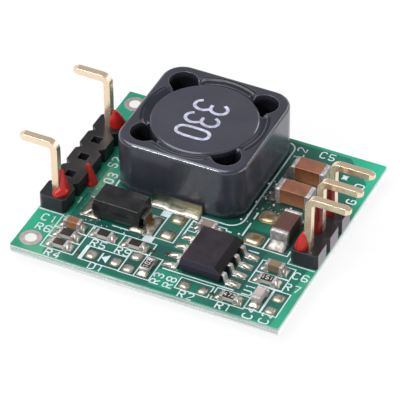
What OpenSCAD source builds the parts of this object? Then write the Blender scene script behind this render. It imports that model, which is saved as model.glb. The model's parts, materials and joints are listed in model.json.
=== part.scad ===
// Step-down converter module: a small board with a shielded power inductor, a control
// chip, a diode, chip capacitors and resistors, and two rows of header pins bent outwards.
// Millimetres. X runs along the front edge, Y from front to back and Z up. The origin lies
// under the middle of the part, level with the ends of the pin tails.

/* [Board] */
// Length of the board along its front edge
board_l = 25.4; // [25.2:0.1:32]
// Depth of the board from front to back
board_w = 23.4; // [23.2:0.1:30]
// Thickness of the board
board_t = 0.8; // [0.6:0.1:1.6]
// Radius of the board's upright corners
board_r = 0.15; // [0.1:0.05:1]
// Inside diameter of the two plated corner holes
hole_d = 1.1; // [0.8:0.05:1.3]
// Outside diameter of the rings round the corner holes
ring_d = 2; // [1.85:0.05:2.4]
// Distance from the front or back edge to a corner hole
hole_inset = 1.54; // [1.3:0.02:2.2]
// Thickness of the tinned copper pads
pad_t = 0.05; // [0.03:0.01:0.1]

/* [Inductor] */
// Side of the square ferrite ring
ind_w = 12.3; // [11:0.1:12.8]
// Height of the ferrite ring
ind_h = 5.1; // [4:0.1:8]
// Radius of the ring's upright corners
ind_r = 2; // [1.4:0.1:2.4]
// Rounding of the ring's top edge
ind_edge = 0.35; // [0.2:0.05:0.6]
// Least wall of the ring, beside the drum core
ring_wall = 1.2; // [1:0.05:1.6]
// Width of the bevelled groove round the drum core
groove_w = 0.55; // [0.3:0.05:0.7]
// Diameter of the four corner openings
corner_d = 2.66; // [2:0.02:3]
// Width of the soldered terminals
term_w = 4.75; // [3.5:0.05:5.5]
// Height of the terminals' upright plates
term_h = 1; // [0.7:0.05:1.6]
// Thickness of the terminals' upright plates
term_t = 0.28; // [0.2:0.02:0.32]

/* [Headers and pins] */
// Height of the plastic header strips
house_h = 1.5; // [1.2:0.1:3]
// Side of the square pins
pin_s = 0.64; // [0.5:0.02:0.7]
// Height of the bent arms' top faces above the board
arm_top = 7; // [5.6:0.1:9]
// Reach of the left arms, from the pin row to the tip
left_reach = 3.35; // [2.2:0.05:5]
// Reach of the right arms, from the pin row to the tip
right_reach = 3.8; // [2.2:0.05:5]
// Inside radius of the bends
bend_r = 0.3; // [0.2:0.05:0.8]
// Length of the pin tails below the board
tail = 0.8; // [0.7:0.1:1.5]

/* [Control chip] */
// Length of the moulded body
ic_l = 4.9; // [4.5:0.05:5.1]
// Width of the moulded body
ic_w = 3.9; // [3.6:0.05:4.1]
// Height of the body's top above the pads
ic_h = 1.5; // [1.2:0.05:2]
// Width over the tips of the leads
ic_span = 6; // [5.8:0.05:6.4]
// Width of the bevel along the right side of its top
ic_bevel = 0.5; // [0.3:0.05:0.7]

/* [Diode] */
// Length of the moulded body
diode_l = 4.5; // [4:0.05:4.7]
// Width of the moulded body
diode_w = 2.64; // [2.4:0.02:3]
// Height of the body's top above the pads
diode_h = 2.05; // [1.6:0.05:2.4]

/* [Large capacitors] */
// Length over the end caps
big_l = 3.2; // [3:0.05:3.4]
// Width
big_w = 1.6; // [1.4:0.05:1.8]
// Height
big_h = 1.55; // [1.2:0.05:1.8]
// Length of an end cap
big_band = 0.42; // [0.3:0.02:0.6]

/* [Small chip parts] */
// Length over the end caps
chip_l = 1.6; // [1.5:0.02:1.7]
// Width
chip_w = 0.8; // [0.7:0.02:0.9]
// Height of the small capacitors
cap_h = 0.8; // [0.6:0.05:0.9]
// Height of the resistors
res_h = 0.45; // [0.4:0.05:0.6]
// Length of an end cap
chip_band = 0.3; // [0.2:0.02:0.4]

/* [Hidden] */
$fn = 48;

// Heights: the board's top face, and the middle of the part along X
top_z = board_t + tail;
mid_x = (right_reach - left_reach) / 2;

// Header rows, one pitch wide, flush with the board's left and right edges
pitch = 2.54;
left_n = 5;
right_n = 3;
left_fitted = [true, false, false, false, true];
right_fitted = [true, true, true];
left_row = from_left(pitch / 2);
right_row = from_right(pitch / 2);
house_end = 1.1;
house_cut = [0.5, 0.42];
well_s = 0.9;
hole_wall = 0.25;
barrel_wall = 0.1;
row_hole_d = 1;
row_ring_d = 1.8;
joint_h = 0.55;
joint_d = 1.6;
tip_l = 0.4;
tip_s = 0.36;
bend_c = bend_r + pin_s / 2;
leg_top = arm_top - pin_s / 2 - bend_c;

// Pads and solder of the chip parts
pad_over = [0.05, 0.15];
chip_pad = [0.85, 0.95];
chip_pad_at = chip_l / 2 + pad_over[0];
chip_toe = 0.28;
big_pad = [1.3, 1.65];
big_pad_at = big_l / 2 + pad_over[1];
big_toe = 0.5;

// Inductor: seated on the feet of its terminals, close to the board's back edge
foot_t = 0.15;
foot_in = 2.6;
ind_gap_back = 0.37;
spare_l = board_l - 2 * pitch - ind_w - 2 * big_pad_at - big_pad[0];
ind_gap_left = 0.61 * spare_l;
ind_x = from_left(pitch + ind_gap_left + ind_w / 2);
ind_y = from_back(ind_gap_back + ind_w / 2);
ind_front = ind_y - ind_w / 2;
ind_back = ind_y + ind_w / 2;
ind_seat = pad_t + foot_t;
front_strip = board_w - ind_gap_back - ind_w;
term_shift = 0.38;
term_x = ind_x + term_shift;
term_toe = 0.75;
term_fillet = 0.45;
edge_clear = 0.04;
core_r = ind_w / 2 - ring_wall;
core_drop = 0.1;
core_edge = 0.25;
flange_h = 1.2;
post_r = core_r * 0.52;
wire_r = 0.22;
wound_gap = 0.4;
groove_h = 0.5;
corner_out = 0.6;
glue_r = 0.2;
glue_drop = 0.26;
corner_at = (core_r + corner_out) / sqrt(2);

// Control chip
ic_at = [across(0.315), deep(0.5)];
ic_n = 4;
ic_pitch = 1.27;
ic_lead_w = 0.42;
ic_low = 0.1;
ic_seam = 0.8;
ic_draw = 0.16;
ic_bevel_h = 0.4;
ic_shoulder = 0.28;
lead_t = 0.18;
lead_in = 0.3;
ic_pad = [1.35, 0.6];
ic_toe = 0.3;
ic_pad_over = 0.35;
ic_half = ic_span / 2 + ic_toe + ic_pad_over;
ic_lean = 0.2;

// Diode, in front of the inductor
diode_gap = 0.1836 * front_strip;
diode_at = [across(-0.437), ind_front - diode_gap - diode_w / 2];
diode_seam = 1.1;
diode_draw = 0.12;
diode_lead_w = 1.45;
diode_lead_out = 0.35;
diode_foot = 1.05;
diode_pad = [2.1, 2.6];
diode_pad_at = 2.46;
diode_toe = 0.5;

// Tinned pads of parts that aren't fitted: [place, turn, half spacing, pad size]
bare_upright_x = -0.158;
bare_wide = [0.9, 1.05];
bare_small = [0.9, 0.95];
bare_mid = [1.15, 1.3];
bare_large = [1.5, 1.65];
bare_wide_at = 1.15;
bare_small_at = 0.85;
bare_mid_at = 1.12;
bare_large_at = 1.58;
bare_mid_gap = 2.75;
bare_mid_x = (diode_at[0] + diode_pad_at + diode_pad[0] / 2 + ic_at[0] - ic_half) / 2;
bare_pairs = [
    [[across(-0.354), deep(0.168)], 0, bare_wide_at, bare_wide],
    [[across(bare_upright_x), deep(0.219)], 90, bare_small_at, bare_small],
    [[across(0.325), deep(0.154)], 0, bare_small_at, bare_small],
    [[across(0.882), deep(0.242)], 90, bare_small_at, bare_small],
    [[bare_mid_x, ind_front - bare_mid_gap], 90, bare_mid_at, bare_mid],
    [[across(0.484), along(-0.051)], 90, bare_large_at, bare_large]
];

// Column of chips between the control chip and the right edge
side_shift = 0.725;
side_x = (ic_at[0] + ic_half + from_right(0)) / 2 - side_shift;
// Step of the chip behind the control chip, from midway to the inductor
inner_shift = 0.355;

// Chip parts: [place, turn]
skin = 0.02;
chip_edge = 0.05;
big_edge = 0.1;
coat_t = 0.04;
big_far = [[across(0.571), along(0.62)], 0];
big_near = [[across(0.575), along(0.338)], 0];
big_side = [[across(0.661), along(-0.038)], 90];
small_left = [[across(-0.689), deep(0.41)], 0];
small_right = [[side_x, deep(0.615)], 0];
small_upright = [[across(0.765), deep(0.256)], 90];
small_inner = [[across(0.158), (ic_at[1] + ic_l / 2 + ind_front) / 2 - inner_shift], 0];
resistors = [
    [[across(-0.683), deep(0.282)], 0],
    [[across(-0.685), deep(0.158)], 0],
    [[across(-0.453), deep(0.403)], 0],
    [[across(-0.213), deep(0.403)], 0],
    [[(across(bare_upright_x) + bare_small[1] / 2 + ic_at[0] - ic_half) / 2, deep(0.219)], 90],
    [[across(0.587), deep(0.154)], 0],
    [[side_x, deep(0.468)], 0]
];
small_chips = concat([small_left, small_right, small_upright, small_inner], resistors);
big_chips = [big_far, big_near, big_side];

dome_h = 0.16;
solder_rim = 0.03;
dome_rim = 0.04;

// Red locking lacquer: [side step from the pin, step along the row, radius, climb up the pin]
dab_left_near = [0.46, 0.05, 0.72, 2];
dab_left_far = [0.5, 0.15, 0.72, 1.4];
dab_right_near = [-0.46, -0.1, 0.72, 1.4];
dab_right_mid = [-0.12, -0.4, 0.52, 3.3];
dab_right_far = [-0.12, -0.4, 0.52, 3.3];
// Outline of a dab: shares of its radius and of its climb
dab_shape = [
    [1, 0], [0.97, 0.08], [0.85, 0.18], [0.66, 0.28], [0.5, 0.42], [0.38, 0.62], [0.28, 0.85], [0.15, 1]
];
run_r = 0.42;
run_foot = [0.45, 0.3];
run_foot_h = 0.75;
run_out = 0.25;

// Places as shares: of half the board's length, of half its depth, and of the strip before the inductor
function across(share) = share * board_l / 2;
function along(share) = share * board_w / 2;
function deep(share) = from_front(share * front_strip);

// Places measured in from the board's edges
function from_left(d) = d - board_l / 2;
function from_right(d) = board_l / 2 - d;
function from_front(d) = d - board_w / 2;
function from_back(d) = board_w / 2 - d;

// Place of one position of a row of n, counted from the front
function row_y(i, n) = (i - (n - 1) / 2) * pitch;

// Shared shapes

// Moves a shape from the middle of the board's top face to its place in the part
module on_board() {
    translate([-mid_x, 0, top_z])
        children();
}

// The same for a part that stands on the pads, at a place and turn
module on_pads(spot) {
    on_board()
        translate([spot[0][0], spot[0][1], pad_t])
            rotate(spot[1])
                children();
}

// Rectangle with round corners, centred
module round_rect(l, w, r) {
    square([l - 2 * r, w], center = true);
    square([l, w - 2 * r], center = true);
    for (x = [-1, 1], y = [-1, 1])
        translate([x * (l / 2 - r), y * (w / 2 - r)])
            circle(r);
}

// Rectangle with its corners cut off, centred
module cut_rect(l, w, cut) {
    x = l / 2;
    y = w / 2;
    polygon([
        [-x, cut[1] - y], [cut[0] - x, -y], [x - cut[0], -y], [x, cut[1] - y],
        [x, y - cut[1]], [x - cut[0], y], [cut[0] - x, y], [-x, y - cut[1]]
    ]);
}

// Solid with one outline seen from the front and another seen from the side
module two_way(l, w) {
    intersection() {
        rotate([90, 0, 0])
            linear_extrude(w, center = true)
                children(0);
        rotate([90, 0, 90])
            linear_extrude(l, center = true)
                children(1);
    }
}

// Block on z = 0 with the edges of its top and bottom cut back
module cut_block(l, w, h, cut) {
    translate([0, 0, h / 2])
        two_way(l, w) {
            cut_rect(l, h, [cut, cut]);
            cut_rect(w, h, [cut, cut]);
        }
}

// Side view of a moulded body, widest at the seam
module moulded_side(l, low, seam, high, draw) {
    x = l / 2;
    polygon([[draw - x, low], [x - draw, low], [x, seam], [x - draw, high], [draw - x, high], [-x, seam]]);
}

// What a bevel takes off the +X top edge of such a body
module bevel_cut(l, seam, high, draw, size, drop) {
    x = l / 2 - draw;
    side = l / 2 - draw * (high - drop - seam) / (high - seam);
    polygon([[x - size, high], [side, high - drop], [x + size, high - drop], [x + size, high + drop]]);
}

// Hollow solder fillet: foot along +X from x = 0, standing against x = 0, w wide along Y
module fillet(toe, w) {
    rotate([90, 0, 0])
        linear_extrude(w, center = true)
            difference() {
                square([toe, toe + solder_rim]);
                translate([toe, toe + solder_rim])
                    circle(toe);
            }
}

// Flat pad, centred
module pad(size) {
    translate([0, 0, pad_t / 2])
        cube([size[0], size[1], pad_t], center = true);
}

// Pad with a domed coat of solder: a ball's cap over the pad's outline
module domed_pad(size) {
    reach = norm(size) / 2;
    rise = dome_h - dome_rim;
    ball = (reach * reach + rise * rise) / (2 * rise);
    intersection() {
        translate([0, 0, dome_h / 2])
            cube([size[0], size[1], dome_h], center = true);
        translate([0, 0, dome_h - ball])
            sphere(ball, $fn = 240);
    }
}

// Plated hole: a tube through the board with a ring on the faces that show it
module plating(inner_d, wall, outer_d, top_ring) {
    low = -board_t - pad_t;
    high = top_ring ? pad_t : 0;
    difference() {
        union() {
            translate([0, 0, low])
                cylinder(h = high - low, d = inner_d + 2 * wall);
            translate([0, 0, low])
                cylinder(h = pad_t, d = outer_d);
            if (top_ring)
                cylinder(h = pad_t, d = outer_d);
        }
        translate([0, 0, low - 1])
            cylinder(h = board_t + 3, d = inner_d);
    }
}

// Header strip: joined eight-sided blocks with a square hole at each position
module header(fitted) {
    n = len(fitted);
    linear_extrude(house_h)
        difference() {
            intersection() {
                union()
                    for (i = [0:n - 1])
                        translate([0, row_y(i, n)])
                            cut_rect(pitch, pitch, house_cut);
                square([pitch, (n - 1) * pitch + 2 * house_end], center = true);
            }
            for (i = [0:n - 1])
                translate([0, row_y(i, n)])
                    square(fitted[i] ? pin_s : well_s, center = true);
        }
}

// Square pin: a leg through the board, a round bend and an arm along +X with a tapered tip
module bent_pin(reach) {
    translate([-pin_s / 2, -pin_s / 2, -top_z])
        cube([pin_s, pin_s, leg_top + top_z]);
    translate([bend_c, 0, leg_top])
        rotate([90, 0, 0])
            rotate(90)
                rotate_extrude(angle = 90)
                    translate([bend_c, 0])
                        square(pin_s, center = true);
    translate([bend_c, -pin_s / 2, arm_top - pin_s])
        cube([reach - tip_l - bend_c, pin_s, pin_s]);
    translate([reach - tip_l, 0, arm_top - pin_s / 2])
        intersection() {
            linear_extrude(pin_s, center = true)
                tip_side();
            rotate([90, 0, 0])
                linear_extrude(pin_s, center = true)
                    tip_side();
        }
}

// Side view of a pin's tapered tip
module tip_side() {
    polygon([[0, -pin_s / 2], [tip_l, -tip_s / 2], [tip_l, tip_s / 2], [0, pin_s / 2]]);
}

// Pin of a row, its arm turned outwards
module row_pin(x, y, reach, turn) {
    color("wheat")
        on_board()
            translate([x, y, 0])
                rotate(turn)
                    bent_pin(reach);
}

// Dab of lacquer on a header, beside a pin and climbing it
module dab(x, y, drop) {
    outline = [for (step = dab_shape) [step[0] * drop[2], step[1] * drop[3]]];
    color("firebrick")
        on_board()
            translate([x, y, house_h])
                difference() {
                    translate([drop[0], drop[1], 0])
                        rotate_extrude()
                            polygon(concat([[0, 0]], outline, [[0, drop[3]]]));
                    cube([pin_s, pin_s, 2 * arm_top], center = true);
                }
}

// Ceramic block of a chip part, between its end caps
module chip_body(l, w, h, band) {
    translate([0, 0, h / 2])
        cube([l - 2 * band, w - 2 * skin, h - 2 * skin], center = true);
}

// The two end caps of a chip part
module chip_ends(l, w, h, band, cut) {
    for (s = [-1, 1])
        translate([s * (l - band) / 2, 0, 0])
            cut_block(band, w, h, cut);
}

// Terminal of the inductor: a foot under the ring and a plate up its side, facing -Y
module terminal() {
    translate([0, 0, pad_t])
        rotate([90, 0, 90])
            linear_extrude(term_w, center = true)
                polygon([
                    [-term_t, 0], [foot_in, 0], [foot_in, foot_t],
                    [0, foot_t], [0, term_h], [-term_t, term_h]
                ]);
}

// Upright section of the ferrite ring's edge, reaching out from x = 0
module ring_section(reach) {
    square([reach, ind_h - ind_edge]);
    square([reach - ind_edge, ind_h]);
    translate([reach - ind_edge, ind_h - ind_edge])
        circle(ind_edge);
}

// Rounded square block of the ferrite ring, before it is bored
module ring_blank() {
    flat = ind_w - 2 * ind_r;
    translate([-flat / 2, -flat / 2, 0])
        cube([flat, flat, ind_h]);
    for (turn = [0:90:270])
        rotate(turn) {
            translate([flat / 2, 0, 0])
                rotate([90, 0, 0])
                    linear_extrude(flat, center = true)
                        ring_section(ind_r);
            translate([flat / 2, flat / 2, 0])
                rotate_extrude(angle = 90)
                    ring_section(ind_r);
        }
}

// Gull-wing lead of the control chip, on its +X side
module ic_lead() {
    inner = ic_w / 2 - lead_in;
    knee = ic_w / 2 + ic_shoulder;
    toe = ic_span / 2;
    rotate([90, 0, 0])
        linear_extrude(ic_lead_w, center = true)
            polygon([
                [inner, ic_seam + lead_t / 2], [knee, ic_seam + lead_t / 2], [knee + ic_lean, lead_t], [toe, lead_t],
                [toe, 0], [knee + ic_lean - lead_t, 0], [knee - lead_t, ic_seam - lead_t / 2],
                [inner, ic_seam - lead_t / 2]
            ]);
}

// All the leads of the control chip
module ic_leads() {
    for (side = [0, 180], i = [0:ic_n - 1])
        rotate(side)
            translate([0, (i - (ic_n - 1) / 2) * ic_pitch, 0])
                ic_lead();
}

// Both leads of the diode, folded down and under its ends
module diode_lead_pair() {
    inner = diode_l / 2 - lead_in;
    outer = diode_l / 2 + diode_lead_out;
    for (side = [0, 180])
        rotate(side)
            rotate([90, 0, 0])
                linear_extrude(diode_lead_w, center = true)
                    polygon([
                        [inner, diode_seam + lead_t / 2], [outer, diode_seam + lead_t / 2], [outer, 0],
                        [outer - diode_foot, 0], [outer - diode_foot, lead_t], [outer - lead_t, lead_t],
                        [outer - lead_t, diode_seam - lead_t / 2], [inner, diode_seam - lead_t / 2]
                    ]);
}

// Board, its plating and its pads

module board() {
    color("seagreen")
        on_board()
            translate([0, 0, -board_t])
                linear_extrude(board_t)
                    difference() {
                        round_rect(board_l, board_w, board_r);
                        for (y = [from_front(hole_inset), from_back(hole_inset)])
                            translate([left_row, y])
                                circle(d = hole_d + 2 * hole_wall);
                        for (i = [0:left_n - 1])
                            translate([left_row, row_y(i, left_n)])
                                circle(d = row_hole_d + 2 * barrel_wall);
                        for (i = [0:right_n - 1])
                            translate([right_row, row_y(i, right_n)])
                                circle(d = row_hole_d + 2 * barrel_wall);
                    }
}

module corner_hole(y) {
    color("silver")
        on_board()
            translate([left_row, y, 0])
                plating(hole_d, hole_wall, ring_d, true);
}

module corner_hole_front() {
    corner_hole(from_front(hole_inset));
}

module corner_hole_back() {
    corner_hole(from_back(hole_inset));
}

module row_plating() {
    color("silver")
        on_board() {
            for (i = [0:left_n - 1])
                translate([left_row, row_y(i, left_n), 0])
                    plating(row_hole_d, barrel_wall, row_ring_d, false);
            for (i = [0:right_n - 1])
                translate([right_row, row_y(i, right_n), 0])
                    plating(row_hole_d, barrel_wall, row_ring_d, false);
        }
}

module part_pads() {
    front_pad = foot_in + term_t + term_toe;
    back_pad = foot_in + ind_gap_back - edge_clear;
    color("silver")
        on_board() {
            translate([term_x, ind_front + foot_in - front_pad / 2, 0])
                pad([term_w, front_pad]);
            translate([term_x, ind_back - foot_in + back_pad / 2, 0])
                pad([term_w, back_pad]);
            for (side = [-1, 1]) {
                translate([diode_at[0] + side * diode_pad_at, diode_at[1], 0])
                    pad(diode_pad);
                for (i = [0:ic_n - 1])
                    translate([
                        ic_at[0] + side * (ic_half - ic_pad[0] / 2),
                        ic_at[1] + (i - (ic_n - 1) / 2) * ic_pitch,
                        0
                    ])
                        pad(ic_pad);
                for (spot = big_chips)
                    translate(spot[0])
                        rotate(spot[1])
                            translate([side * big_pad_at, 0, 0])
                                pad(big_pad);
            }
        }
}

module chip_pads() {
    color("silver")
        on_board()
            for (spot = small_chips, side = [-1, 1])
                translate(spot[0])
                    rotate(spot[1])
                        translate([side * chip_pad_at, 0, 0])
                            pad(chip_pad);
}

module bare_pads() {
    color("gainsboro")
        on_board()
            for (pair = bare_pairs, side = [-1, 1])
                translate(pair[0])
                    rotate(pair[1])
                        translate([side * pair[2], 0, 0])
                            domed_pad(pair[3]);
}

// Inductor

module inductor_ring() {
    color("dimgray")
        on_board()
            translate([ind_x, ind_y, ind_seat])
                difference() {
                    ring_blank();
                    translate([0, 0, -1])
                        cylinder(h = ind_h + 2, r = core_r);
                    translate([0, 0, ind_h - groove_h])
                        cylinder(h = 2 * groove_h, r1 = core_r, r2 = core_r + 2 * groove_w);
                    for (x = [-1, 1], y = [-1, 1])
                        translate([x * corner_at, y * corner_at, -1])
                            cylinder(h = ind_h + 2, d = corner_d);
                }
}

module inductor_core() {
    high = ind_h - core_drop;
    color("dimgray")
        on_board()
            translate([ind_x, ind_y, ind_seat])
                rotate_extrude()
                    polygon([
                        [0, 0], [core_r, 0], [core_r, flange_h], [post_r, flange_h],
                        [post_r, high - flange_h], [core_r, high - flange_h], [core_r, high - 2 * core_edge],
                        [core_r - 0.4 * core_edge, high - 0.4 * core_edge], [core_r - core_edge, high], [0, high]
                    ]);
}

module inductor_winding() {
    low = flange_h;
    high = ind_h - core_drop - flange_h;
    turns = floor((high - low) / (2 * wire_r));
    wound_r = core_r - wound_gap;
    color("chocolate")
        on_board()
            translate([ind_x, ind_y, ind_seat])
                rotate_extrude() {
                    translate([post_r, low])
                        square([wound_r - wire_r - post_r, high - low]);
                    for (i = [0:turns - 1])
                        translate([wound_r - wire_r, low + (2 * i + 1) * wire_r])
                            circle(wire_r);
                }
}

// Bead of glue in the groove between the core and the ring, broken at the corner openings
module core_glue() {
    slope = groove_w / groove_h;
    color("black")
        on_board()
            translate([ind_x, ind_y, ind_seat + ind_h])
                difference() {
                    rotate_extrude()
                        intersection() {
                            translate([core_r + slope * (groove_h - glue_drop) / 2, -glue_drop])
                                circle(glue_r);
                            polygon([[core_r, -groove_h], [core_r + groove_w, 0], [core_r, 0]]);
                        }
                    for (x = [-1, 1], y = [-1, 1])
                        translate([x * corner_at, y * corner_at, -2 * groove_h])
                            cylinder(h = 4 * groove_h, d = corner_d);
                }
}

module terminal_front() {
    color("lightgray")
        on_board()
            translate([term_x, ind_front, 0])
                terminal();
}

module terminal_back() {
    color("lightgray")
        on_board()
            translate([term_x, ind_back, 0])
                rotate(180)
                    terminal();
}

module terminal_joint() {
    color("white")
        on_board()
            translate([term_x, ind_front - term_t, pad_t])
                rotate(-90)
                    fillet(term_fillet, term_w);
}

// Headers, pins and lacquer

module header_left() {
    color("#26252a")
        on_board()
            translate([left_row, 0, 0])
                header(left_fitted);
}

module header_right() {
    color("#26252a")
        on_board()
            translate([right_row, 0, 0])
                header(right_fitted);
}

module pin_left_near() {
    row_pin(left_row, row_y(0, left_n), left_reach, 180);
}

module pin_left_far() {
    row_pin(left_row, row_y(left_n - 1, left_n), left_reach, 180);
}

module pin_right_near() {
    row_pin(right_row, row_y(0, right_n), right_reach, 0);
}

module pin_right_mid() {
    row_pin(right_row, row_y(1, right_n), right_reach, 0);
}

module pin_right_far() {
    row_pin(right_row, row_y(right_n - 1, right_n), right_reach, 0);
}

// Solder that fills a plated hole round its pin and stands as a cone below the board
module pin_joint() {
    difference() {
        union() {
            translate([0, 0, -board_t - pad_t])
                cylinder(h = board_t + pad_t, d = row_hole_d);
            translate([0, 0, -board_t - pad_t - joint_h])
                cylinder(h = joint_h, d1 = pin_s * 1.6, d2 = joint_d);
        }
        cube([pin_s, pin_s, 4 * top_z], center = true);
    }
}

module pin_joints() {
    color("silver")
        on_board() {
            for (i = [0:left_n - 1])
                if (left_fitted[i])
                    translate([left_row, row_y(i, left_n), 0])
                        pin_joint();
            for (i = [0:right_n - 1])
                if (right_fitted[i])
                    translate([right_row, row_y(i, right_n), 0])
                        pin_joint();
        }
}

module lacquer_left_near() {
    dab(left_row, row_y(0, left_n), dab_left_near);
}

module lacquer_left_far() {
    dab(left_row, row_y(left_n - 1, left_n), dab_left_far);
}

module lacquer_right_near() {
    dab(right_row, row_y(0, right_n), dab_right_near);
}

module lacquer_right_mid() {
    dab(right_row, row_y(1, right_n), dab_right_mid);
}

module lacquer_right_far() {
    dab(right_row, row_y(right_n - 1, right_n), dab_right_far);
}

// Lacquer that ran down the notch between two positions of the left header
module lacquer_left_run() {
    notch_y = row_y(1.5, left_n);
    side = left_row + pitch / 2;
    color("firebrick")
        on_board()
            difference() {
                union() {
                    translate([side - house_cut[0] / 2, notch_y, 0])
                        cylinder(h = house_h, r = run_r);
                    translate([side + run_out, notch_y, 0])
                        cylinder(h = run_foot_h, r1 = run_foot[0], r2 = run_foot[1]);
                }
                translate([left_row, 0, 0])
                    header(left_fitted);
            }
}

// Diode

module diode_body() {
    color("#232225")
        on_pads([diode_at, 0])
            difference() {
                two_way(diode_l, diode_w) {
                    moulded_side(diode_l, lead_t, diode_seam, diode_h, diode_draw);
                    moulded_side(diode_w, lead_t, diode_seam, diode_h, diode_draw);
                }
                diode_lead_pair();
            }
}

module diode_leads() {
    color("lightgray")
        on_pads([diode_at, 0])
            diode_lead_pair();
}

module diode_joints() {
    color("white")
        on_pads([diode_at, 0])
            for (side = [0, 180])
                rotate(side)
                    translate([diode_l / 2 + diode_lead_out, 0, 0])
                        fillet(diode_toe, diode_lead_w);
}

// Control chip

module control_chip() {
    color("#2b292c")
        on_pads([ic_at, 0])
            difference() {
                two_way(ic_w, ic_l) {
                    difference() {
                        moulded_side(ic_w, ic_low, ic_seam, ic_h, ic_draw);
                        bevel_cut(ic_w, ic_seam, ic_h, ic_draw, ic_bevel, ic_bevel_h);
                    }
                    moulded_side(ic_l, ic_low, ic_seam, ic_h, ic_draw);
                }
                ic_leads();
            }
}

module control_chip_leads() {
    color("lightgray")
        on_pads([ic_at, 0])
            ic_leads();
}

module control_chip_joints() {
    color("white")
        on_pads([ic_at, 0])
            for (side = [0, 180], i = [0:ic_n - 1])
                rotate(side)
                    translate([ic_span / 2, (i - (ic_n - 1) / 2) * ic_pitch, 0])
                        fillet(ic_toe, ic_lead_w);
}

// Chip capacitors

module big_capacitor(spot, tint) {
    color(tint)
        on_pads(spot)
            chip_body(big_l, big_w, big_h, big_band);
}

module big_capacitor_ends(spot) {
    color("lightgray")
        on_pads(spot)
            chip_ends(big_l, big_w, big_h, big_band, big_edge);
}

module capacitor_far() {
    big_capacitor(big_far, "peru");
}

module capacitor_far_ends() {
    big_capacitor_ends(big_far);
}

module capacitor_near() {
    big_capacitor(big_near, "peru");
}

module capacitor_near_ends() {
    big_capacitor_ends(big_near);
}

module capacitor_side() {
    big_capacitor(big_side, "#5f4a46");
}

module capacitor_side_ends() {
    big_capacitor_ends(big_side);
}

module capacitor_joints() {
    color("white")
        for (spot = big_chips, side = [0, 180])
            on_pads(spot)
                rotate(side)
                    translate([big_l / 2, 0, 0])
                        fillet(big_toe, big_w);
}

module small_capacitor(spot, tint) {
    color(tint)
        on_pads(spot)
            chip_body(chip_l, chip_w, cap_h, chip_band);
}

module small_capacitor_ends(spot) {
    color("lightgray")
        on_pads(spot)
            chip_ends(chip_l, chip_w, cap_h, chip_band, chip_edge);
}

module small_cap_left() {
    small_capacitor(small_left, "peru");
}

module small_cap_left_ends() {
    small_capacitor_ends(small_left);
}

module small_cap_right() {
    small_capacitor(small_right, "#8c735c");
}

module small_cap_right_ends() {
    small_capacitor_ends(small_right);
}

module small_cap_upright() {
    small_capacitor(small_upright, "#b3a3a0");
}

module small_cap_upright_ends() {
    small_capacitor_ends(small_upright);
}

module small_cap_inner() {
    small_capacitor(small_inner, "#b3a3a0");
}

module small_cap_inner_ends() {
    small_capacitor_ends(small_inner);
}

// Chip resistors

module resistor_bodies() {
    color("whitesmoke")
        for (spot = resistors)
            on_pads(spot)
                translate([0, 0, -coat_t / 2])
                    chip_body(chip_l, chip_w, res_h - coat_t, chip_band);
}

module resistor_coats() {
    color("#1f1b1d")
        for (spot = resistors)
            on_pads(spot)
                translate([0, 0, res_h - coat_t])
                    linear_extrude(coat_t)
                        square([chip_l - 2 * chip_band, chip_w - 2 * skin], center = true);
}

module resistor_ends() {
    color("lightgray")
        for (spot = resistors)
            on_pads(spot)
                chip_ends(chip_l, chip_w, res_h, chip_band, chip_edge);
}

module chip_joints() {
    color("white")
        for (spot = small_chips, side = [0, 180])
            on_pads(spot)
                rotate(side)
                    translate([chip_l / 2, 0, 0])
                        fillet(chip_toe, chip_w);
}

board();
corner_hole_front();
corner_hole_back();
row_plating();
part_pads();
chip_pads();
bare_pads();
inductor_ring();
inductor_core();
inductor_winding();
core_glue();
terminal_front();
terminal_back();
terminal_joint();
header_left();
header_right();
pin_left_near();
pin_left_far();
pin_right_near();
pin_right_mid();
pin_right_far();
pin_joints();
lacquer_left_near();
lacquer_left_far();
lacquer_left_run();
lacquer_right_near();
lacquer_right_mid();
lacquer_right_far();
diode_body();
diode_leads();
diode_joints();
control_chip();
control_chip_leads();
control_chip_joints();
capacitor_far();
capacitor_far_ends();
capacitor_near();
capacitor_near_ends();
capacitor_side();
capacitor_side_ends();
capacitor_joints();
small_cap_left();
small_cap_left_ends();
small_cap_right();
small_cap_right_ends();
small_cap_upright();
small_cap_upright_ends();
small_cap_inner();
small_cap_inner_ends();
resistor_bodies();
resistor_coats();
resistor_ends();
chip_joints();
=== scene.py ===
"""Looks of a small step-down converter board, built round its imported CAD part."""
import json
from math import cos, pi, radians, sin

import bpy
import numpy as np
from mathutils import Matrix, Vector


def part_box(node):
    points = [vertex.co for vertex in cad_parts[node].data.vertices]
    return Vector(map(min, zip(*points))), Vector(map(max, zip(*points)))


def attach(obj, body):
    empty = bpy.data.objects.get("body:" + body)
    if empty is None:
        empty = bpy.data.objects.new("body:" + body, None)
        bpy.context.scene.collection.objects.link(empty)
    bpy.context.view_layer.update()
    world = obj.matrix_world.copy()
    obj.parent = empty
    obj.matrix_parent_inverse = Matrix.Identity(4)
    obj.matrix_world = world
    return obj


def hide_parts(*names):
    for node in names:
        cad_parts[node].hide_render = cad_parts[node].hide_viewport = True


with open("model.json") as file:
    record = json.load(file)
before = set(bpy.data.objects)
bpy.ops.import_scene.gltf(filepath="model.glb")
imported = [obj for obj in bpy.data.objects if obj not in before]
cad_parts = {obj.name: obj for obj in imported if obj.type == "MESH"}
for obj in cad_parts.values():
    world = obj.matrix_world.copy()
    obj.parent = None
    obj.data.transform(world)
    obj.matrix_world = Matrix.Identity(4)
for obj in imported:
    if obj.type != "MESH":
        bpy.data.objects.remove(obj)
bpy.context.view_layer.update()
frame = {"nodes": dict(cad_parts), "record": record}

# Places: millimetres from the middle of the board's top face, turned into metres of the row frame
MM = 0.001
board_low, board_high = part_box("board")
TOP = Vector(((board_low.x + board_high.x) / 2, (board_low.y + board_high.y) / 2, board_high.z))


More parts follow.
